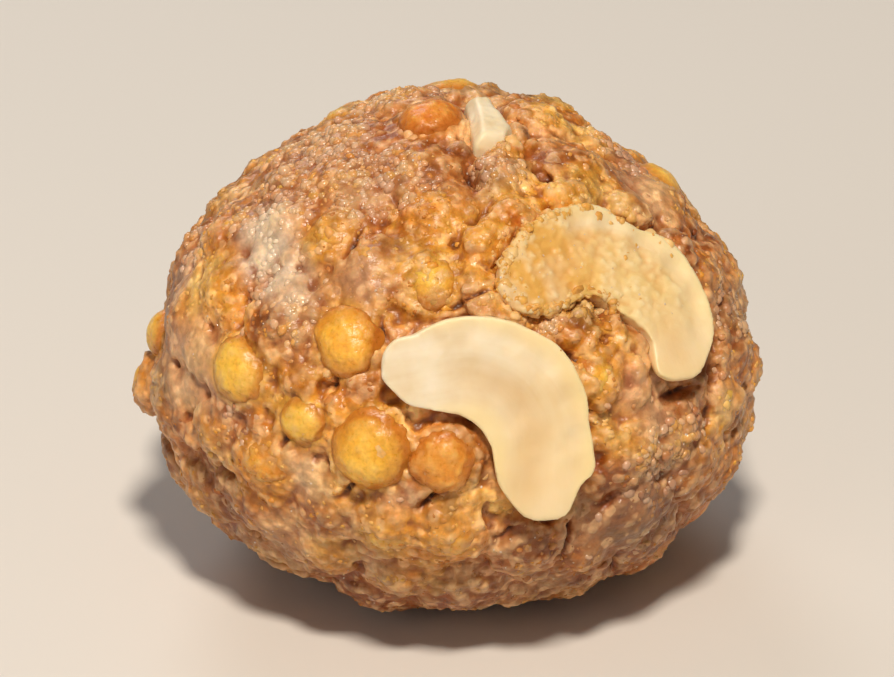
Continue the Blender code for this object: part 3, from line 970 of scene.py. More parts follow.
def colour_paste(paste):
    """Stores what the material needs to know of each point."""
    points = points_of(paste)
    rng = random.Random(SEED + 6)
    tree = KDTree(len(LUMPS))
    for index, (toward, *_) in enumerate(LUMPS):
        tree.insert(core_point(toward), index)
    tree.balance()
    tones = np.array([rng.random() for _ in LUMPS])
    nearest = np.array([tree.find(point)[1] for point in points.tolist()])
    store(paste, "tone", blurred(paste, tones[nearest], 3)[:, 0])
    golden = np.zeros(len(points))
    hue = np.full(len(points), 0.5)
    for (*_, tone, cover, _), shape in zip(PEARLS, PEARL_SHAPES):
        radius = np.linalg.norm(into(shape, points), axis=1)
        near = (1 - smooth_step(0.95, 1.4, radius)) * float(smooth_step(1.0, 0.65, np.array(cover)))
        hue = np.where(near > golden, tone, hue)
        golden = np.maximum(golden, near)
    store(paste, "golden", golden)
    store(paste, "hue", blurred(paste, hue, 4)[:, 0])
    for kind in ("gilded", "sugar", "film", "browned_and_shaded"):
        store(paste, kind, zone(points, kind))
    # Crease depth, which the material turns into painted shade in creases and a painted highlight on ridges.
    store(paste, "crease", crease_depth(paste, 10) / (0.3 * MM))


# ---------------------------------------------------------------------------------------------
# Boondi, crumbs and sugar
# ---------------------------------------------------------------------------------------------

# The models of what repeats have a radius of about 1, and their reliefs are in that unit.
PEARL_MODELS = 5
NEAR_PEARLS = 10  # the first of the list, which show best
PEARL_RELIEF = (("CLOUDS", 0.9, 0.22), ("VORONOI", 0.55, -0.1), ("VORONOI", 0.28, -0.05))
CRUMB_RELIEF = (("CLOUDS", 0.7, 0.9),)
GRIT_RELIEF = (("CLOUDS", 0.7, 0.6),)
BEAD_RELIEF = (("CLOUDS", 0.9, 0.5),)


def make_boondi():
    """The pearls: a few shapes of ball, finer where they show whole, copied to every place."""
    models = {}
    for kind in range(PEARL_MODELS):
        for fineness in (3, 4, 5):
            model = add_ball(fineness)
            roughen_apart(model, 7 * kind, PEARL_RELIEF)
            # Depth of dimples, which the material turns into painted shade in them and a painted highlight on
            # crests.
            store(model, "crease", crease_depth(model, 1 + 3 * (fineness - 3)) / 0.04)
            models[kind, fineness] = model
    rng = random.Random(SEED + 7)
    copies = []
    for number, ((toward, _, proud, tone, cover, _), shape) in enumerate(zip(PEARLS, PEARL_SHAPES)):
        fineness = 3 if cover > 0.8 else 5 if number < NEAR_PEARLS else 4
        swell = Matrix.Diagonal((1.1, 1.1, 1.04, 1)) if cover < BARE else Matrix.Scale(1.08 - 0.2 * cover, 4)
        pearl = place_copy(models[number % PEARL_MODELS, fineness], shape @ swell @ random_turn(rng))
        height = (points_of(pearl) - np.array(core_point(toward))) @ np.array(core_normal(toward))
        # Height over the paste, below which the pearl darkens: partly browning from the paste, partly painted
        # shade.
        store(pearl, "height", height / proud)
        store(pearl, "tone", np.full(len(height), tone))
        store(pearl, "cover", np.full(len(height), cover))
        copies.append(pearl)
    boondi = join(copies, "boondi")
    remove(*models.values())
    cut_flat(boondi)
    boondi.data.shade_smooth()
    return boondi


def cut_flat(obj):
    """Presses what would reach below the flat spot up to it."""
    points = points_of(obj)
    points[:, 2] = np.maximum(points[:, 2], 0.02 * MM)
    set_points(obj, points)


def surface(objects):
    """One tree to cast rays at, of all that crumbs can lie on."""
    points, faces, start = [], [], 0
    for obj in objects:
        points.extend(map(tuple, points_of(obj)))
        faces.extend([start + index for index in face.vertices] for face in obj.data.polygons)
        start = len(points)
    return BVHTree.FromPolygons(points, faces)


OUTSIDE = 50 * MM  # from the middle of the ball, past all of it


def spot_on(tree, toward):
    """Where a line out from the middle of the ball leaves its surface, and the normal there."""
    place, normal, _, _ = tree.ray_cast(MIDDLE + OUTSIDE * toward, -toward)
    return place, normal


CRUMB_THROWS = 1700
CRUMB_DIAMETERS = (0.8 * MM, 1.8 * MM)
GRIT_THROWS = 13000
GRIT_DIAMETERS = (0.5 * MM, 1.0 * MM)
LAP_THROWS = 480
LAP_DIAMETERS = (0.6 * MM, 1.9 * MM)
BEAD_THROWS = 15000
BEAD_DIAMETERS = (0.6 * MM, 1.4 * MM)
SUGAR_THROWS = 11000
SUGAR_SIZES = (0.15 * MM, 0.45 * MM)
BITS_LOWEST = 2 * MM


def bit_models(count, subdivisions, snapped, seed):
    """Broken bits of boondi: lumpy, the larger with a snapped face."""
    rng = random.Random(seed)
    models = []
    for kind in range(count):
        model = add_ball(subdivisions)
        roughen_apart(model, 5 * kind, CRUMB_RELIEF if snapped else GRIT_RELIEF)
        if snapped:
            edit_all(model)
            bpy.ops.mesh.bisect(plane_co=(rng.uniform(0.1, 0.5), 0, 0), use_fill=True, clear_outer=True,
                                plane_no=(1, rng.uniform(-0.5, 0.5), rng.uniform(-0.3, 0.3)))
            close_edit()
        models.append(model)
    return models


def bead_models(count):
    """Drops of set syrup: round, a little dented."""
    models = []
    for kind in range(count):
        bpy.ops.mesh.primitive_cube_add(size=2)
        model = bpy.context.object
        edit_all(model)
        bpy.ops.mesh.subdivide(number_cuts=1)
        bpy.ops.transform.tosphere(value=1)
        close_edit()
        model.data.transform(Matrix.Scale(0.8, 4))
        roughen_apart(model, 5 * kind, BEAD_RELIEF)
        models.append(model)
    return models


def grain_model():
    """A sugar crystal: a block with its edges cut."""
    bpy.ops.mesh.primitive_cube_add(size=1)
    grain = bpy.context.object
    finish_modifier(grain, "BEVEL", width=0.16, segments=1)
    return grain


def on_pearls(points, bare):
    """Which points lie over a pearl, of those that show whole or of those under paste."""
    over = np.zeros(len(points), bool)
    for (*_, cover, _), shape in zip(PEARLS, PEARL_SHAPES):
        if (cover < BARE) == bare:
            over |= np.linalg.norm(into(shape, points), axis=1) < 1.16
    return over


def toward_lapped(rng):
    """A direction to near the edge of the side half's first arm, or to the foot of the chip."""
    if rng.random() < 0.12:
        return toward_spot(CHIP_FOOT[0] + rng.gauss(0, 0.8), CHIP_FOOT[1] + rng.gauss(0, 0.6))
    along = rng.uniform(-CASHEW_LENGTH / 2, 4 * MM)
    aside = float(kernel_half_width(along)) + rng.gauss(-0.1, 0.6) * MM
    return (SIDE_SEAT @ bent(along, rng.choice((-1, 1)) * aside) - MIDDLE).normalized()


def strew(models, throws, sizes, sink, tree, seed, chance, on_film=0.0, on_lap=0.0,
          toward=random_toward):
    """Copies of small models strewn over what shows, each sunk by a share of its size, kept where
    chance says, and on the cashews by how filmed or lapped they are."""
    rng = random.Random(seed)
    hits = [spot_on(tree, toward(rng)) for _ in range(throws)]
    points = np.array([place[:] for place, _ in hits])
    zones = {kind: zone(points, kind) for kind in ZONES}
    zones["gilded"][on_pearls(points, bare=False)] = 1
    share = chance(zones)
    on_face, film, lapped = kernel_cover(points)
    share[on_face] = on_film * smooth_step(0.3, 0.9, film[on_face])
    share = np.maximum(share, on_lap * lapped)
    share[on_pearls(points, bare=True) | (points[:, 2] < BITS_LOWEST)] = 0
    creamy = np.maximum(on_face, 0.6 * lapped) - 0.3 * on_face * lapped
    copies = []
    for number, (place, normal) in enumerate(hits):
        size = rng.triangular(*sizes, sizes[0])
        flat, narrow, spin, tone = (rng.random() for _ in range(4))
        if rng.random() > share[number]:
            continue
        turned = normal.to_track_quat("Z", "Y").to_matrix().to_4x4()
        turned = turned @ Matrix.Rotation(math.tau * spin, 4, "Z")
        shape = Matrix.Diagonal((size / 2, size / 2 * (0.6 + 0.4 * narrow), size / 2 * (0.5 + 0.4 * flat), 1))
        seated = Matrix.Translation(place - sink * size * normal) @ turned @ shape @ random_turn(rng)
        copy = place_copy(models[number % len(models)], seated)
        count = len(copy.data.vertices)
        store(copy, "grain", np.full(count, tone))
        store(copy, "creamy", np.full(count, creamy[number]))
        for name in ("sugar", "browned_and_shaded", "gilded", "film"):
            store(copy, name, np.full(count, zones[name][number]))
        copies.append(copy)
    remove(*models)
    return copies


def make_crumbs(tree):
    """Crumbs where the paste crumbles, grit all over, and bits that lap over the cashews' edges."""
    crumbs = strew(bit_models(6, 2, True, SEED + 8), CRUMB_THROWS, CRUMB_DIAMETERS, 0.25, tree, SEED + 9,
                   lambda at: ((0.15 + 0.85 * at["crumbly"]) * (1 - 0.9 * at["film"])
                               * (1 - 0.7 * at["sugar"])), on_lap=1.0)
    grit = strew(bit_models(5, 1, False, SEED + 16), GRIT_THROWS, GRIT_DIAMETERS, 0.25, tree, SEED + 17,
                 lambda at: (0.3 + 0.5 * np.maximum(at["crumbly"], at["gilded"])) * (1 - 0.8 * at["film"]),
                 on_film=0.15, on_lap=1.0)
    lapping = strew(bit_models(5, 2, True, SEED + 22), LAP_THROWS, LAP_DIAMETERS, 0.32, tree, SEED + 23,
                    lambda at: np.zeros(LAP_THROWS), on_lap=1.0, toward=toward_lapped)
    piece = join(crumbs + grit + lapping, "crumbs")
    piece.data.shade_smooth()
    return piece


def make_beads(tree):
    """Beads of syrup and sugar, close together where the crumb is whitened."""
    beads = strew(bead_models(5), BEAD_THROWS, BEAD_DIAMETERS, 0.2, tree, SEED + 20,
                  lambda at: 0.95 * smooth_step(0.1, 0.6, at["sugar"]) * (1 - 0.7 * at["film"]) + 0.01)
    piece = join(beads, "syrup_beads")
    piece.data.shade_smooth()
    return piece


def make_sugar(tree):
    grains = strew([grain_model()], SUGAR_THROWS, SUGAR_SIZES, 0, tree, SEED + 10,
                   lambda at: 0.05 + 0.35 * at["sugar"], on_film=0.2)
    return join(grains, "sugar_grains")


# ---------------------------------------------------------------------------------------------
# Materials
# ---------------------------------------------------------------------------------------------


def linear(colour):
    """Linear RGBA of an sRGB colour written as six hex digits."""
    levels = (int(colour[i : i + 2], 16) / 255 for i in (0, 2, 4))
    return (*(v / 12.92 if v <= 0.04045 else ((v + 0.055) / 1.055) ** 2.4 for v in levels), 1)


def new_material(name, **uniform):
    """A material and its shader, with the values that are the same all over the surface."""
    material = bpy.data.materials.new(name)
    material.use_nodes = True
    shader = material.node_tree.nodes["Principled BSDF"]
    for socket, value in uniform.items():
        shader.inputs[socket.replace("_", " ")].default_value = value
    return material, shader


def add_node(material, kind, settings=None, links=None):
    """Adds a node with its settings, by property or input, and its links, by input."""
    node = material.node_tree.nodes.new(kind)
    for name, value in (settings or {}).items():
        if isinstance(name, str) and hasattr(node, name):
            setattr(node, name, value)
        else:
            node.inputs[name].default_value = value
    for name, socket in (links or {}).items():
        material.node_tree.links.new(socket, node.inputs[name])
    return node


def feed(shader, **sockets):
    """Links outputs to the shader's inputs."""
    for name, socket in sockets.items():
        shader.id_data.links.new(socket, shader.inputs[name.replace("_", " ")])


def set_stops(ramp, *stops):
    """Colours along a ramp."""
    elements = ramp.color_ramp.elements
    while len(elements) < len(stops):
        elements.new(0.5)
    for element, (place, colour) in zip(elements, stops):
        element.position = place
        element.color = linear(colour)


MIX, MATH, NOISE, RAMP = "ShaderNodeMix", "ShaderNodeMath", "ShaderNodeTexNoise", "ShaderNodeValToRGB"
ATTRIBUTE, BUMP, RANGE = "ShaderNodeAttribute", "ShaderNodeBump", "ShaderNodeMapRange"
COORDINATES, CELLS = "ShaderNodeTexCoord", "ShaderNodeTexVoronoi"
COLOUR_A, COLOUR_B, COLOUR_OUT = 6, 7, 2  # sockets of a Mix node that mixes colours


def layered(material, colour, *layers):
    """Lays tints over a colour, one on another: each grows as its value goes from low to high, up
    to the most it may cover."""
    for value, low, high, most, tint in layers:
        share = add_node(material, RANGE, {"From Min": low, "From Max": high, "To Max": most},
                         {"Value": value})
        mixed = add_node(material, MIX, {"data_type": "RGBA", COLOUR_B: linear(tint)},
                         {0: share.outputs[0], COLOUR_A: colour})
        colour = mixed.outputs[COLOUR_OUT]
    return colour


def crumb_colour(material, place, value):
    """The colour of pressed crumb: pinkish tan, gold where crushed boondi shows, paler under dried
    syrup and, along the upper edge, with a painted highlight; browner where it fried longer and with
    painted shade at the foot, the lower right and the edges. The same for the paste and for what lies on it."""
    patches = add_node(material, NOISE, {"Scale": 1 / (5 * MM), "Detail": 5.0, "Roughness": 0.6},
                       {"Vector": place})
    body = add_node(material, RAMP, links={"Fac": patches.outputs["Fac"]})
    set_stops(body, (0.35, "8E4A1D"), (0.43, "B5692C"), (0.5, "CA8343"), (0.57, "DA9A5A"), (0.65, "EBBA80"))
    gilt_hue = add_node(material, RAMP, links={"Fac": patches.outputs["Fac"]})
    set_stops(gilt_hue, (0.32, "C4691C"), (0.43, "DE902D"), (0.54, "EEAB42"), (0.66, "F6C66E"))
    gilt_share = add_node(material, RANGE, {"From Min": 0.05, "From Max": 0.7, "To Max": 0.9},
                          {"Value": value["gilded"]})
    gilt = add_node(material, MIX, {"data_type": "RGBA"},
                    {0: gilt_share.outputs[0], COLOUR_A: body.outputs["Color"],
                     COLOUR_B: gilt_hue.outputs["Color"]})
    milky = add_node(material, MATH, {"operation": "MULTIPLY"}, {0: value["film"], 1: value["sugar"]})
    # The film and milky tints include a painted highlight along the upper edge; the brown tint is partly
    # painted shade.
    return layered(material, gilt.outputs[COLOUR_OUT],
                   (value["film"], 0, 1, 0.55, "DDB590"), (value["sugar"], 0, 1, 0.5, "BE8A66"),
                   (milky.outputs[0], 0, 1, 1, "F6DFC2"), (value["browned_and_shaded"], 0, 1, 0.66, "723816"))


def paste_material():
    """Pressed boondi crumb bound with ghee and sugar syrup: fine-grained, moist, with painted shade in
    its crevices and a painted highlight on its ridges, smoother and shining a little where palms smeared it."""
    material, shader = new_material(
        "pressed_boondi_paste", Subsurface_Weight=0.25, Subsurface_Radius=(1.0, 0.42, 0.15),
        Subsurface_Scale=0.9 * MM, IOR=1.46)
    place = add_node(material, COORDINATES).outputs["Object"]
    value = {name: add_node(material, ATTRIBUTE, {"attribute_name": name}).outputs["Fac"]
             for name in ("tone", "golden", "hue", "gilded", "sugar", "film", "browned_and_shaded", "crease")}
    cells = add_node(material, CELLS, {"feature": "SMOOTH_F1", "Scale": 1 / (0.9 * MM), "Smoothness": 0.8},
                     {"Vector": place})
    grains = add_node(material, NOISE, {"Scale": 1 / (0.9 * MM), "Detail": 3.0, "Roughness": 0.65},
                      {"Vector": place})
    specks = add_node(material, NOISE, {"Scale": 1 / (0.6 * MM), "Detail": 2.0}, {"Vector": place})

    gold_hue = add_node(material, RAMP, links={"Fac": value["hue"]})
    set_stops(gold_hue, (0.0, "D9822F"), (0.5, "E59E3E"), (1.0, "F0B64C"))
    gold_share = add_node(material, MATH, {"operation": "MULTIPLY", 1: 0.8}, {0: value["golden"]})
    gold = add_node(material, MIX, {"data_type": "RGBA"},
                    {0: gold_share.outputs[0], COLOUR_A: crumb_colour(material, place, value),
                     COLOUR_B: gold_hue.outputs["Color"]})
    tint = add_node(material, RANGE, {"To Min": 0.88, "To Max": 1.12}, {"Value": value["tone"]})
    speck = add_node(material, RANGE, {"From Min": 0.3, "From Max": 0.7, "To Min": 0.82, "To Max": 1.18},
                     {"Value": specks.outputs["Fac"]})
    grain_tone = add_node(material, RANGE, {"From Min": 0.1, "From Max": 0.9, "To Min": 0.7, "To Max": 1.2},
                          {"Value": cells.outputs["Color"]})
    uneven = add_node(material, MATH, {"operation": "MULTIPLY"},
                      {0: speck.outputs[0], 1: grain_tone.outputs[0]})
    uneven = add_node(material, MATH, {"operation": "MULTIPLY"}, {0: uneven.outputs[0], 1: tint.outputs[0]})
    pale = layered(material, gold.outputs[COLOUR_OUT], (cells.outputs["Color"], 0.52, 0.68, 0.32, "F0CE9C"))
    freckled = add_node(material, MIX, {"data_type": "RGBA", "blend_type": "MULTIPLY", 0: 1.0},
                        {COLOUR_A: pale, COLOUR_B: uneven.outputs[0]})

    # Painted shade, browner in shallow creases and dark in deep ones, and a painted highlight along ridges.
    crease = value["crease"]
    crease_shade_and_ridge_light = layered(material, freckled.outputs[COLOUR_OUT], (crease, 0.05, 0.5, 0.7, "93481A"),
                      (crease, 0.5, 1.3, 0.9, "4A220E"), (crease, -0.15, -0.8, 0.45, "EBC490"))

    sheen = add_node(material, RANGE, {"From Min": 0.3, "From Max": 0.7, "To Min": 0.24, "To Max": 0.52},
                     {"Value": grains.outputs["Fac"]})
    rough = add_node(material, RANGE, {"To Min": 0.9, "To Max": 0.25}, {"Value": value["film"]})
    domes = add_node(material, RANGE, {"From Max": 0.8, "To Min": 1.0, "To Max": 0.0},
                     {"Value": cells.outputs["Distance"]})
    beads = add_node(material, BUMP, {"Distance": 0.3 * MM},
                     {"Height": domes.outputs[0], "Strength": rough.outputs[0]})
    crumb = add_node(material, BUMP, {"Strength": 0.7, "Distance": 0.2 * MM},
                     {"Height": grains.outputs["Fac"], "Normal": beads.outputs[0]})
    grit = add_node(material, BUMP, {"Strength": 0.5, "Distance": 0.06 * MM},
                    {"Height": specks.outputs["Fac"], "Normal": crumb.outputs[0]})
    feed(shader, Base_Color=crease_shade_and_ridge_light, Roughness=sheen.outputs[0], Normal=grit.outputs[0])
    return material


def boondi_material():
    """Gram-flour pearls fried in ghee: golden and a little clear, with painted shade in their dimples
    and a painted highlight on their crests, darker at the foot, where paste browns them and shade is
    painted, shining softly."""
    material, shader = new_material(
        "fried_boondi", Subsurface_Weight=0.4, Subsurface_Radius=(1.0, 0.5, 0.15),
        Subsurface_Scale=1.5 * MM, IOR=1.47)
    place = add_node(material, COORDINATES).outputs["Object"]
    value = {name: add_node(material, ATTRIBUTE, {"attribute_name": name}).outputs["Fac"]
             for name in ("tone", "height", "cover", "crease")}
    mottles = add_node(material, NOISE, {"Scale": 1 / (1.6 * MM), "Detail": 4.0, "Roughness": 0.6},
                       {"Vector": place})
    pores = add_node(material, NOISE, {"Scale": 1 / (0.4 * MM), "Detail": 2.0}, {"Vector": place})
    shade = add_node(material, MIX, {0: 0.55}, {2: mottles.outputs["Fac"], 3: value["tone"]})
    body = add_node(material, RAMP, links={"Fac": shade.outputs[0]})
    set_stops(body, (0.2, "D97F2C"), (0.4, "E89A31"), (0.58, "F2B33C"), (0.75, "F7C44C"), (0.9, "FAD165"))
    smear = add_node(material, RANGE, {"From Min": 0.5, "From Max": 0.62}, {"Value": mottles.outputs["Fac"]})
    smear_share = add_node(material, MATH, {"operation": "MULTIPLY"},
                           {0: smear.outputs[0], 1: value["cover"]})
    # Painted shade in the dimples, a painted highlight on the crests, darker at the foot, partly browned by
    # paste and partly painted shade, and smeared with paste.
    smeared = layered(material, body.outputs["Color"],
                      (value["crease"], 0.1, 1, 0.7, "B4611F"), (value["crease"], -0.2, -1, 0.45, "FAD67E"),
                      (value["height"], 0.85, 0.1, 0.8, "B8641E"),
                      (smear_share.outputs[0], 0, 1, 1, "CE9A64"))
    speck = add_node(material, RANGE, {"From Min": 0.3, "From Max": 0.7, "To Min": 0.88, "To Max": 1.1},
                     {"Value": pores.outputs["Fac"]})
    freckled = add_node(material, MIX, {"data_type": "RGBA", "blend_type": "MULTIPLY", 0: 1.0},
                        {COLOUR_A: smeared, COLOUR_B: speck.outputs[0]})
    sheen = add_node(material, RANGE, {"From Min": 0.3, "From Max": 0.7, "To Min": 0.26, "To Max": 0.45},
                     {"Value": pores.outputs["Fac"]})
    dimples = add_node(material, BUMP, {"Strength": 0.9, "Distance": 0.25 * MM},
                       {"Height": mottles.outputs["Fac"]})
    skin = add_node(material, BUMP, {"Strength": 0.4, "Distance": 0.04 * MM},
                    {"Height": pores.outputs["Fac"], "Normal": dimples.outputs[0]})
    feed(shader, Base_Color=freckled.outputs[COLOUR_OUT], Roughness=sheen.outputs[0], Normal=skin.outputs[0])
    return material


def crumb_material():
    """Broken bits of fried boondi: of the colour of the crumb they lie on, each a little lighter
    or darker, cream on the cashew."""
    material, shader = new_material(
        "broken_boondi", Subsurface_Weight=0.2, Subsurface_Radius=(1.0, 0.5, 0.2),
        Subsurface_Scale=0.6 * MM, IOR=1.46)
    place = add_node(material, COORDINATES).outputs["Object"]
    value = {name: add_node(material, ATTRIBUTE, {"attribute_name": name}).outputs["Fac"]
             for name in ("grain", "creamy", "sugar", "browned_and_shaded", "gilded", "film")}
    specks = add_node(material, NOISE, {"Scale": 1 / (0.4 * MM), "Detail": 3.0}, {"Vector": place})
    cream = add_node(material, RAMP, links={"Fac": value["grain"]})
    set_stops(cream, (0.0, "DC9C42"), (0.4, "E5AE58"), (0.75, "ECC07A"), (1.0, "F3D8A0"))
    creamed = add_node(material, MIX, {"data_type": "RGBA"},
                       {0: value["creamy"], COLOUR_A: crumb_colour(material, place, value),
                        COLOUR_B: cream.outputs["Color"]})
    shade = add_node(material, RANGE, {"From Min": 0.35, "From Max": 0.0, "To Max": 0.5},
                     {"Value": value["grain"]})
    off_cashew = add_node(material, MATH, {"operation": "SUBTRACT", 0: 1.0}, {1: value["creamy"]})
    shade_share = add_node(material, MATH, {"operation": "MULTIPLY"},
                           {0: shade.outputs[0], 1: off_cashew.outputs[0]})
    shaded = layered(material, creamed.outputs[COLOUR_OUT], (value["grain"], 0.45, 1, 0.35, "EFC58C"),
                     (shade_share.outputs[0], 0, 1, 1, "A2602F"))
    sheen = add_node(material, RANGE, {"From Min": 0.3, "From Max": 0.7, "To Min": 0.35, "To Max": 0.6},
                     {"Value": specks.outputs["Fac"]})
    skin = add_node(material, BUMP, {"Strength": 0.5, "Distance": 0.06 * MM},
                    {"Height": specks.outputs["Fac"]})
    feed(shader, Base_Color=shaded, Roughness=sheen.outputs[0], Normal=skin.outputs[0])
    return material


def bead_material():
    """Sugar syrup set in beads over fine crumb: pinkish tan, half clear, each with a small glint."""
    material, shader = new_material(
        "syrup_bead", Roughness=0.2, IOR=1.5, Subsurface_Weight=0.3,
        Subsurface_Radius=(1.0, 0.6, 0.4), Subsurface_Scale=0.5 * MM)
    place = add_node(material, COORDINATES).outputs["Object"]
    value = {name: add_node(material, ATTRIBUTE, {"attribute_name": name}).outputs["Fac"]
             for name in ("grain", "sugar", "browned_and_shaded", "gilded", "film")}
    whitened = layered(material, crumb_colour(material, place, value), (value["grain"], 0, 1, 0.55, "E4C4A8"))
    feed(shader, Base_Color=whitened)
    return material


def sugar_material():
    """Dried sugar crystals: whitish, half clear, glinting."""
    material, shader = new_material(
        "sugar_crystal", Roughness=0.16, IOR=1.55, Subsurface_Weight=0.6,
        Subsurface_Radius=(1.0, 0.8, 0.6), Subsurface_Scale=0.6 * MM)
    place = add_node(material, COORDINATES).outputs["Object"]
    cloud = add_node(material, NOISE, {"Scale": 1 / (1.2 * MM), "Detail": 2.0}, {"Vector": place})
    body = add_node(material, RAMP, links={"Fac": cloud.outputs["Fac"]})
    set_stops(body, (0.35, "DDB892"), (0.65, "F3E3D0"))
    feed(shader, Base_Color=body.outputs["Color"])
    return material


def cashew_material():
    """Raw cashew split in half: ivory, waxy, faintly streaked along, its rim paler, partly its broken
    edge and partly a painted highlight, painted shade in the pressed hollow, and stained gold where
    crumb and syrup cover it, with a painted highlight on the crests and painted shade in the dips."""
    material, shader = new_material(
        "split_cashew", Subsurface_Weight=0.35, Subsurface_Radius=(1.0, 0.7, 0.4),
        Subsurface_Scale=1.5 * MM, IOR=1.47)
    place = add_node(material, COORDINATES).outputs["Object"]
    value = {name: add_node(material, ATTRIBUTE, {"attribute_name": name}).outputs["Fac"]
             for name in ("along", "aside", "rim", "under", "hollow", "film", "raised")}
    # Both attributes run from 0 to 1 over a half, so the streaks are about 9 mm long and 1 mm wide.
    lengthwise = add_node(material, "ShaderNodeCombineXYZ", links={"X": value["along"], "Y": value["aside"]})
    stretched = add_node(material, "ShaderNodeMapping", {"Scale": (1.2, 4, 1)},
                         {"Vector": lengthwise.outputs[0]})
    streaks = add_node(material, NOISE, {"Scale": 2.2, "Detail": 4.0}, {"Vector": stretched.outputs[0]})
    clouds = add_node(material, NOISE, {"Scale": 1 / (4 * MM), "Detail": 3.0}, {"Vector": place})
    grain = add_node(material, NOISE, {"Scale": 1 / (0.5 * MM), "Detail": 2.0}, {"Vector": place})
    shade = add_node(material, MIX, {0: 0.7}, {2: streaks.outputs["Fac"], 3: clouds.outputs["Fac"]})
    body = add_node(material, RAMP, links={"Fac": shade.outputs[0]})
    set_stops(body, (0.35, "E3CCA4"), (0.5, "EDDDBE"), (0.65, "F3E8D0"))
    # Warmer towards the second arm, painted shade in the hollow, paler at the rim, partly its broken edge and
    # partly a painted highlight, and tan on the belly.
    clean = layered(material, body.outputs["Color"],
                    (value["along"], 0.25, 0.8, 0.6, "F0D193"), (value["hollow"], 0, 1, 0.5, "DDB67E"),
                    (value["rim"], 0, 1, 0.6, "F8DFA2"), (value["under"], 0, 1, 0.8, "CFA062"))
    patch = add_node(material, RANGE, {"From Min": 0.35, "From Max": 0.6, "To Min": 0.45, "To Max": 1.0},
                     {"Value": clouds.outputs["Fac"]})
    film_share = add_node(material, MATH, {"operation": "MULTIPLY"},
                          {0: value["film"], 1: patch.outputs[0]})
    further = add_node(material, RANGE, {"From Min": 0.58, "From Max": 0.25}, {"Value": value["along"]})
    stain = add_node(material, RAMP, links={"Fac": further.outputs[0]})
    set_stops(stain, (0.0, "EBCB88"), (0.5, "E9C074"), (1.0, "E3AE58"))
    film = add_node(material, MIX, {"data_type": "RGBA"},
                    {0: film_share.outputs[0], COLOUR_A: clean, COLOUR_B: stain.outputs["Color"]})
    # A painted highlight, white, on the film's crests, and painted shade, darker gold, in its dips.
    film_crest_lit_dip_shaded = layered(material, film.outputs[COLOUR_OUT], (value["raised"], 0.2, 1.4, 0.5, "F6E3B6"),
                     (value["raised"], -0.2, -1.8, 0.55, "DA9F4C"))
    sheen = add_node(material, RANGE, {"From Min": 0.3, "From Max": 0.7, "To Min": 0.36, "To Max": 0.5},
                     {"Value": grain.outputs["Fac"]})
    wave = add_node(material, BUMP, {"Strength": 0.12, "Distance": 0.2 * MM},
                    {"Height": streaks.outputs["Fac"]})
    skin = add_node(material, BUMP, {"Strength": 0.3, "Distance": 0.05 * MM},
                    {"Height": grain.outputs["Fac"], "Normal": wave.outputs[0]})
    feed(shader, Base_Color=film_crest_lit_dip_shaded, Roughness=sheen.outputs[0], Normal=skin.outputs[0])
    return material


def dress(piece, material, slot, *nodes):
    piece.data.materials.clear()
    piece.data.materials.append(material)
    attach(piece, "root")
    if nodes:
        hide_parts(*nodes)


# ---------------------------------------------------------------------------------------------
# Stage
# ---------------------------------------------------------------------------------------------

CAMERA_DISTANCE = 0.65
FRAME_HEIGHT = 61.04 * MM  # what the frame takes in at the ball's middle
FRAME_ASPECT = 894 / 677
SENSOR_WIDTH = 36
# Name, place, size, power and colour of the soft lamps, all aimed at the ball.
LAMPS = (
    ("key", (0.02, -0.42, 0.81), 0.13, 7.9, "FFF2E2"),
    ("fill", (-0.5, -0.6, 0.4), 0.5, 0.7, "FFF8F0"),
    ("rim", (-0.2, 0.62, 0.45), 0.35, 1.2, "FFFFFF"),
)


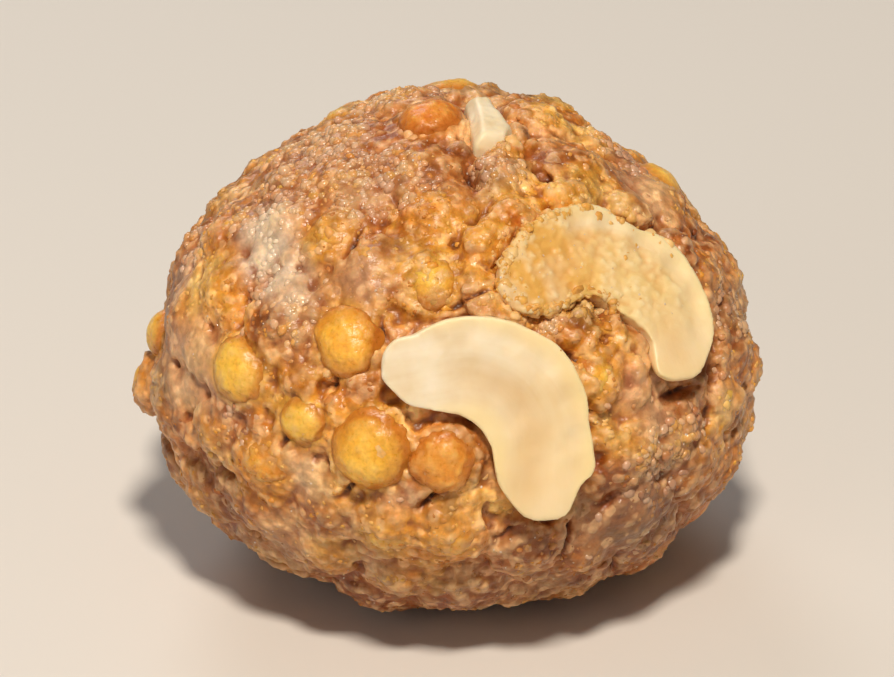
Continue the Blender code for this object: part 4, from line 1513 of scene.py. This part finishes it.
def add_lamp(name, place, size, power, colour):
    light = bpy.data.lights.new(name, "AREA")
    light.shape = "DISK"
    light.size = size
    light.energy = power
    light.color = linear(colour)[:3]
    lamp = bpy.data.objects.new(name, light)
    lamp.location = place
    lamp.rotation_euler = (MIDDLE - Vector(place)).to_track_quat("-Z", "Y").to_euler()
    bpy.context.scene.collection.objects.link(lamp)


def set_stage():
    bpy.ops.mesh.primitive_plane_add(size=3)
    floor = bpy.context.object
    floor.name = "floor"
    material, shader = new_material("plain_floor", Roughness=0.6)
    shader.inputs["Base Color"].default_value = linear("DEDAD4")
    floor.data.materials.append(material)
    for lamp in LAMPS:
        add_lamp(*lamp)
    world = bpy.data.worlds.new("studio")
    world.use_nodes = True
    surroundings = world.node_tree.nodes["Background"]
    surroundings.inputs["Color"].default_value = linear("F4F3F0")
    surroundings.inputs["Strength"].default_value = 0.11
    bpy.context.scene.world = world
    bpy.context.scene.view_settings.view_transform = "Standard"


def set_camera():
    camera = bpy.data.cameras.new("camera")
    camera.sensor_width = SENSOR_WIDTH
    camera.lens = SENSOR_WIDTH * CAMERA_DISTANCE / (FRAME_HEIGHT * FRAME_ASPECT)
    view = bpy.data.objects.new("camera", camera)
    away = Vector((0, -math.cos(VIEW_ELEVATION), math.sin(VIEW_ELEVATION)))
    view.location = MIDDLE + CAMERA_DISTANCE * away
    view.rotation_euler = (-away).to_track_quat("-Z", "Y").to_euler()
    bpy.context.scene.collection.objects.link(view)
    bpy.context.scene.camera = view


def main():
    deselect_all()
    set_camera()
    set_stage()
    paste = make_paste()
    boondi = make_boondi()
    kernels = make_kernels()
    chip = make_chip()
    ground = surface([paste, boondi, *kernels.values()])
    crumbs = make_crumbs(ground)
    beads = make_beads(ground)
    sugar = make_sugar(ground)
    dress(paste, paste_material(), "boondi_paste", "boondi_ball")
    dress(boondi, boondi_material(), "boondi_paste")
    dress(crumbs, crumb_material(), "boondi_paste")
    dress(beads, bead_material(), "boondi_paste")
    dress(sugar, sugar_material(), "boondi_paste")
    cashew = cashew_material()
    for name, kernel in kernels.items():
        dress(kernel, cashew, "cashew", name)
    dress(chip, cashew, "cashew", "cashew_chip")


main()
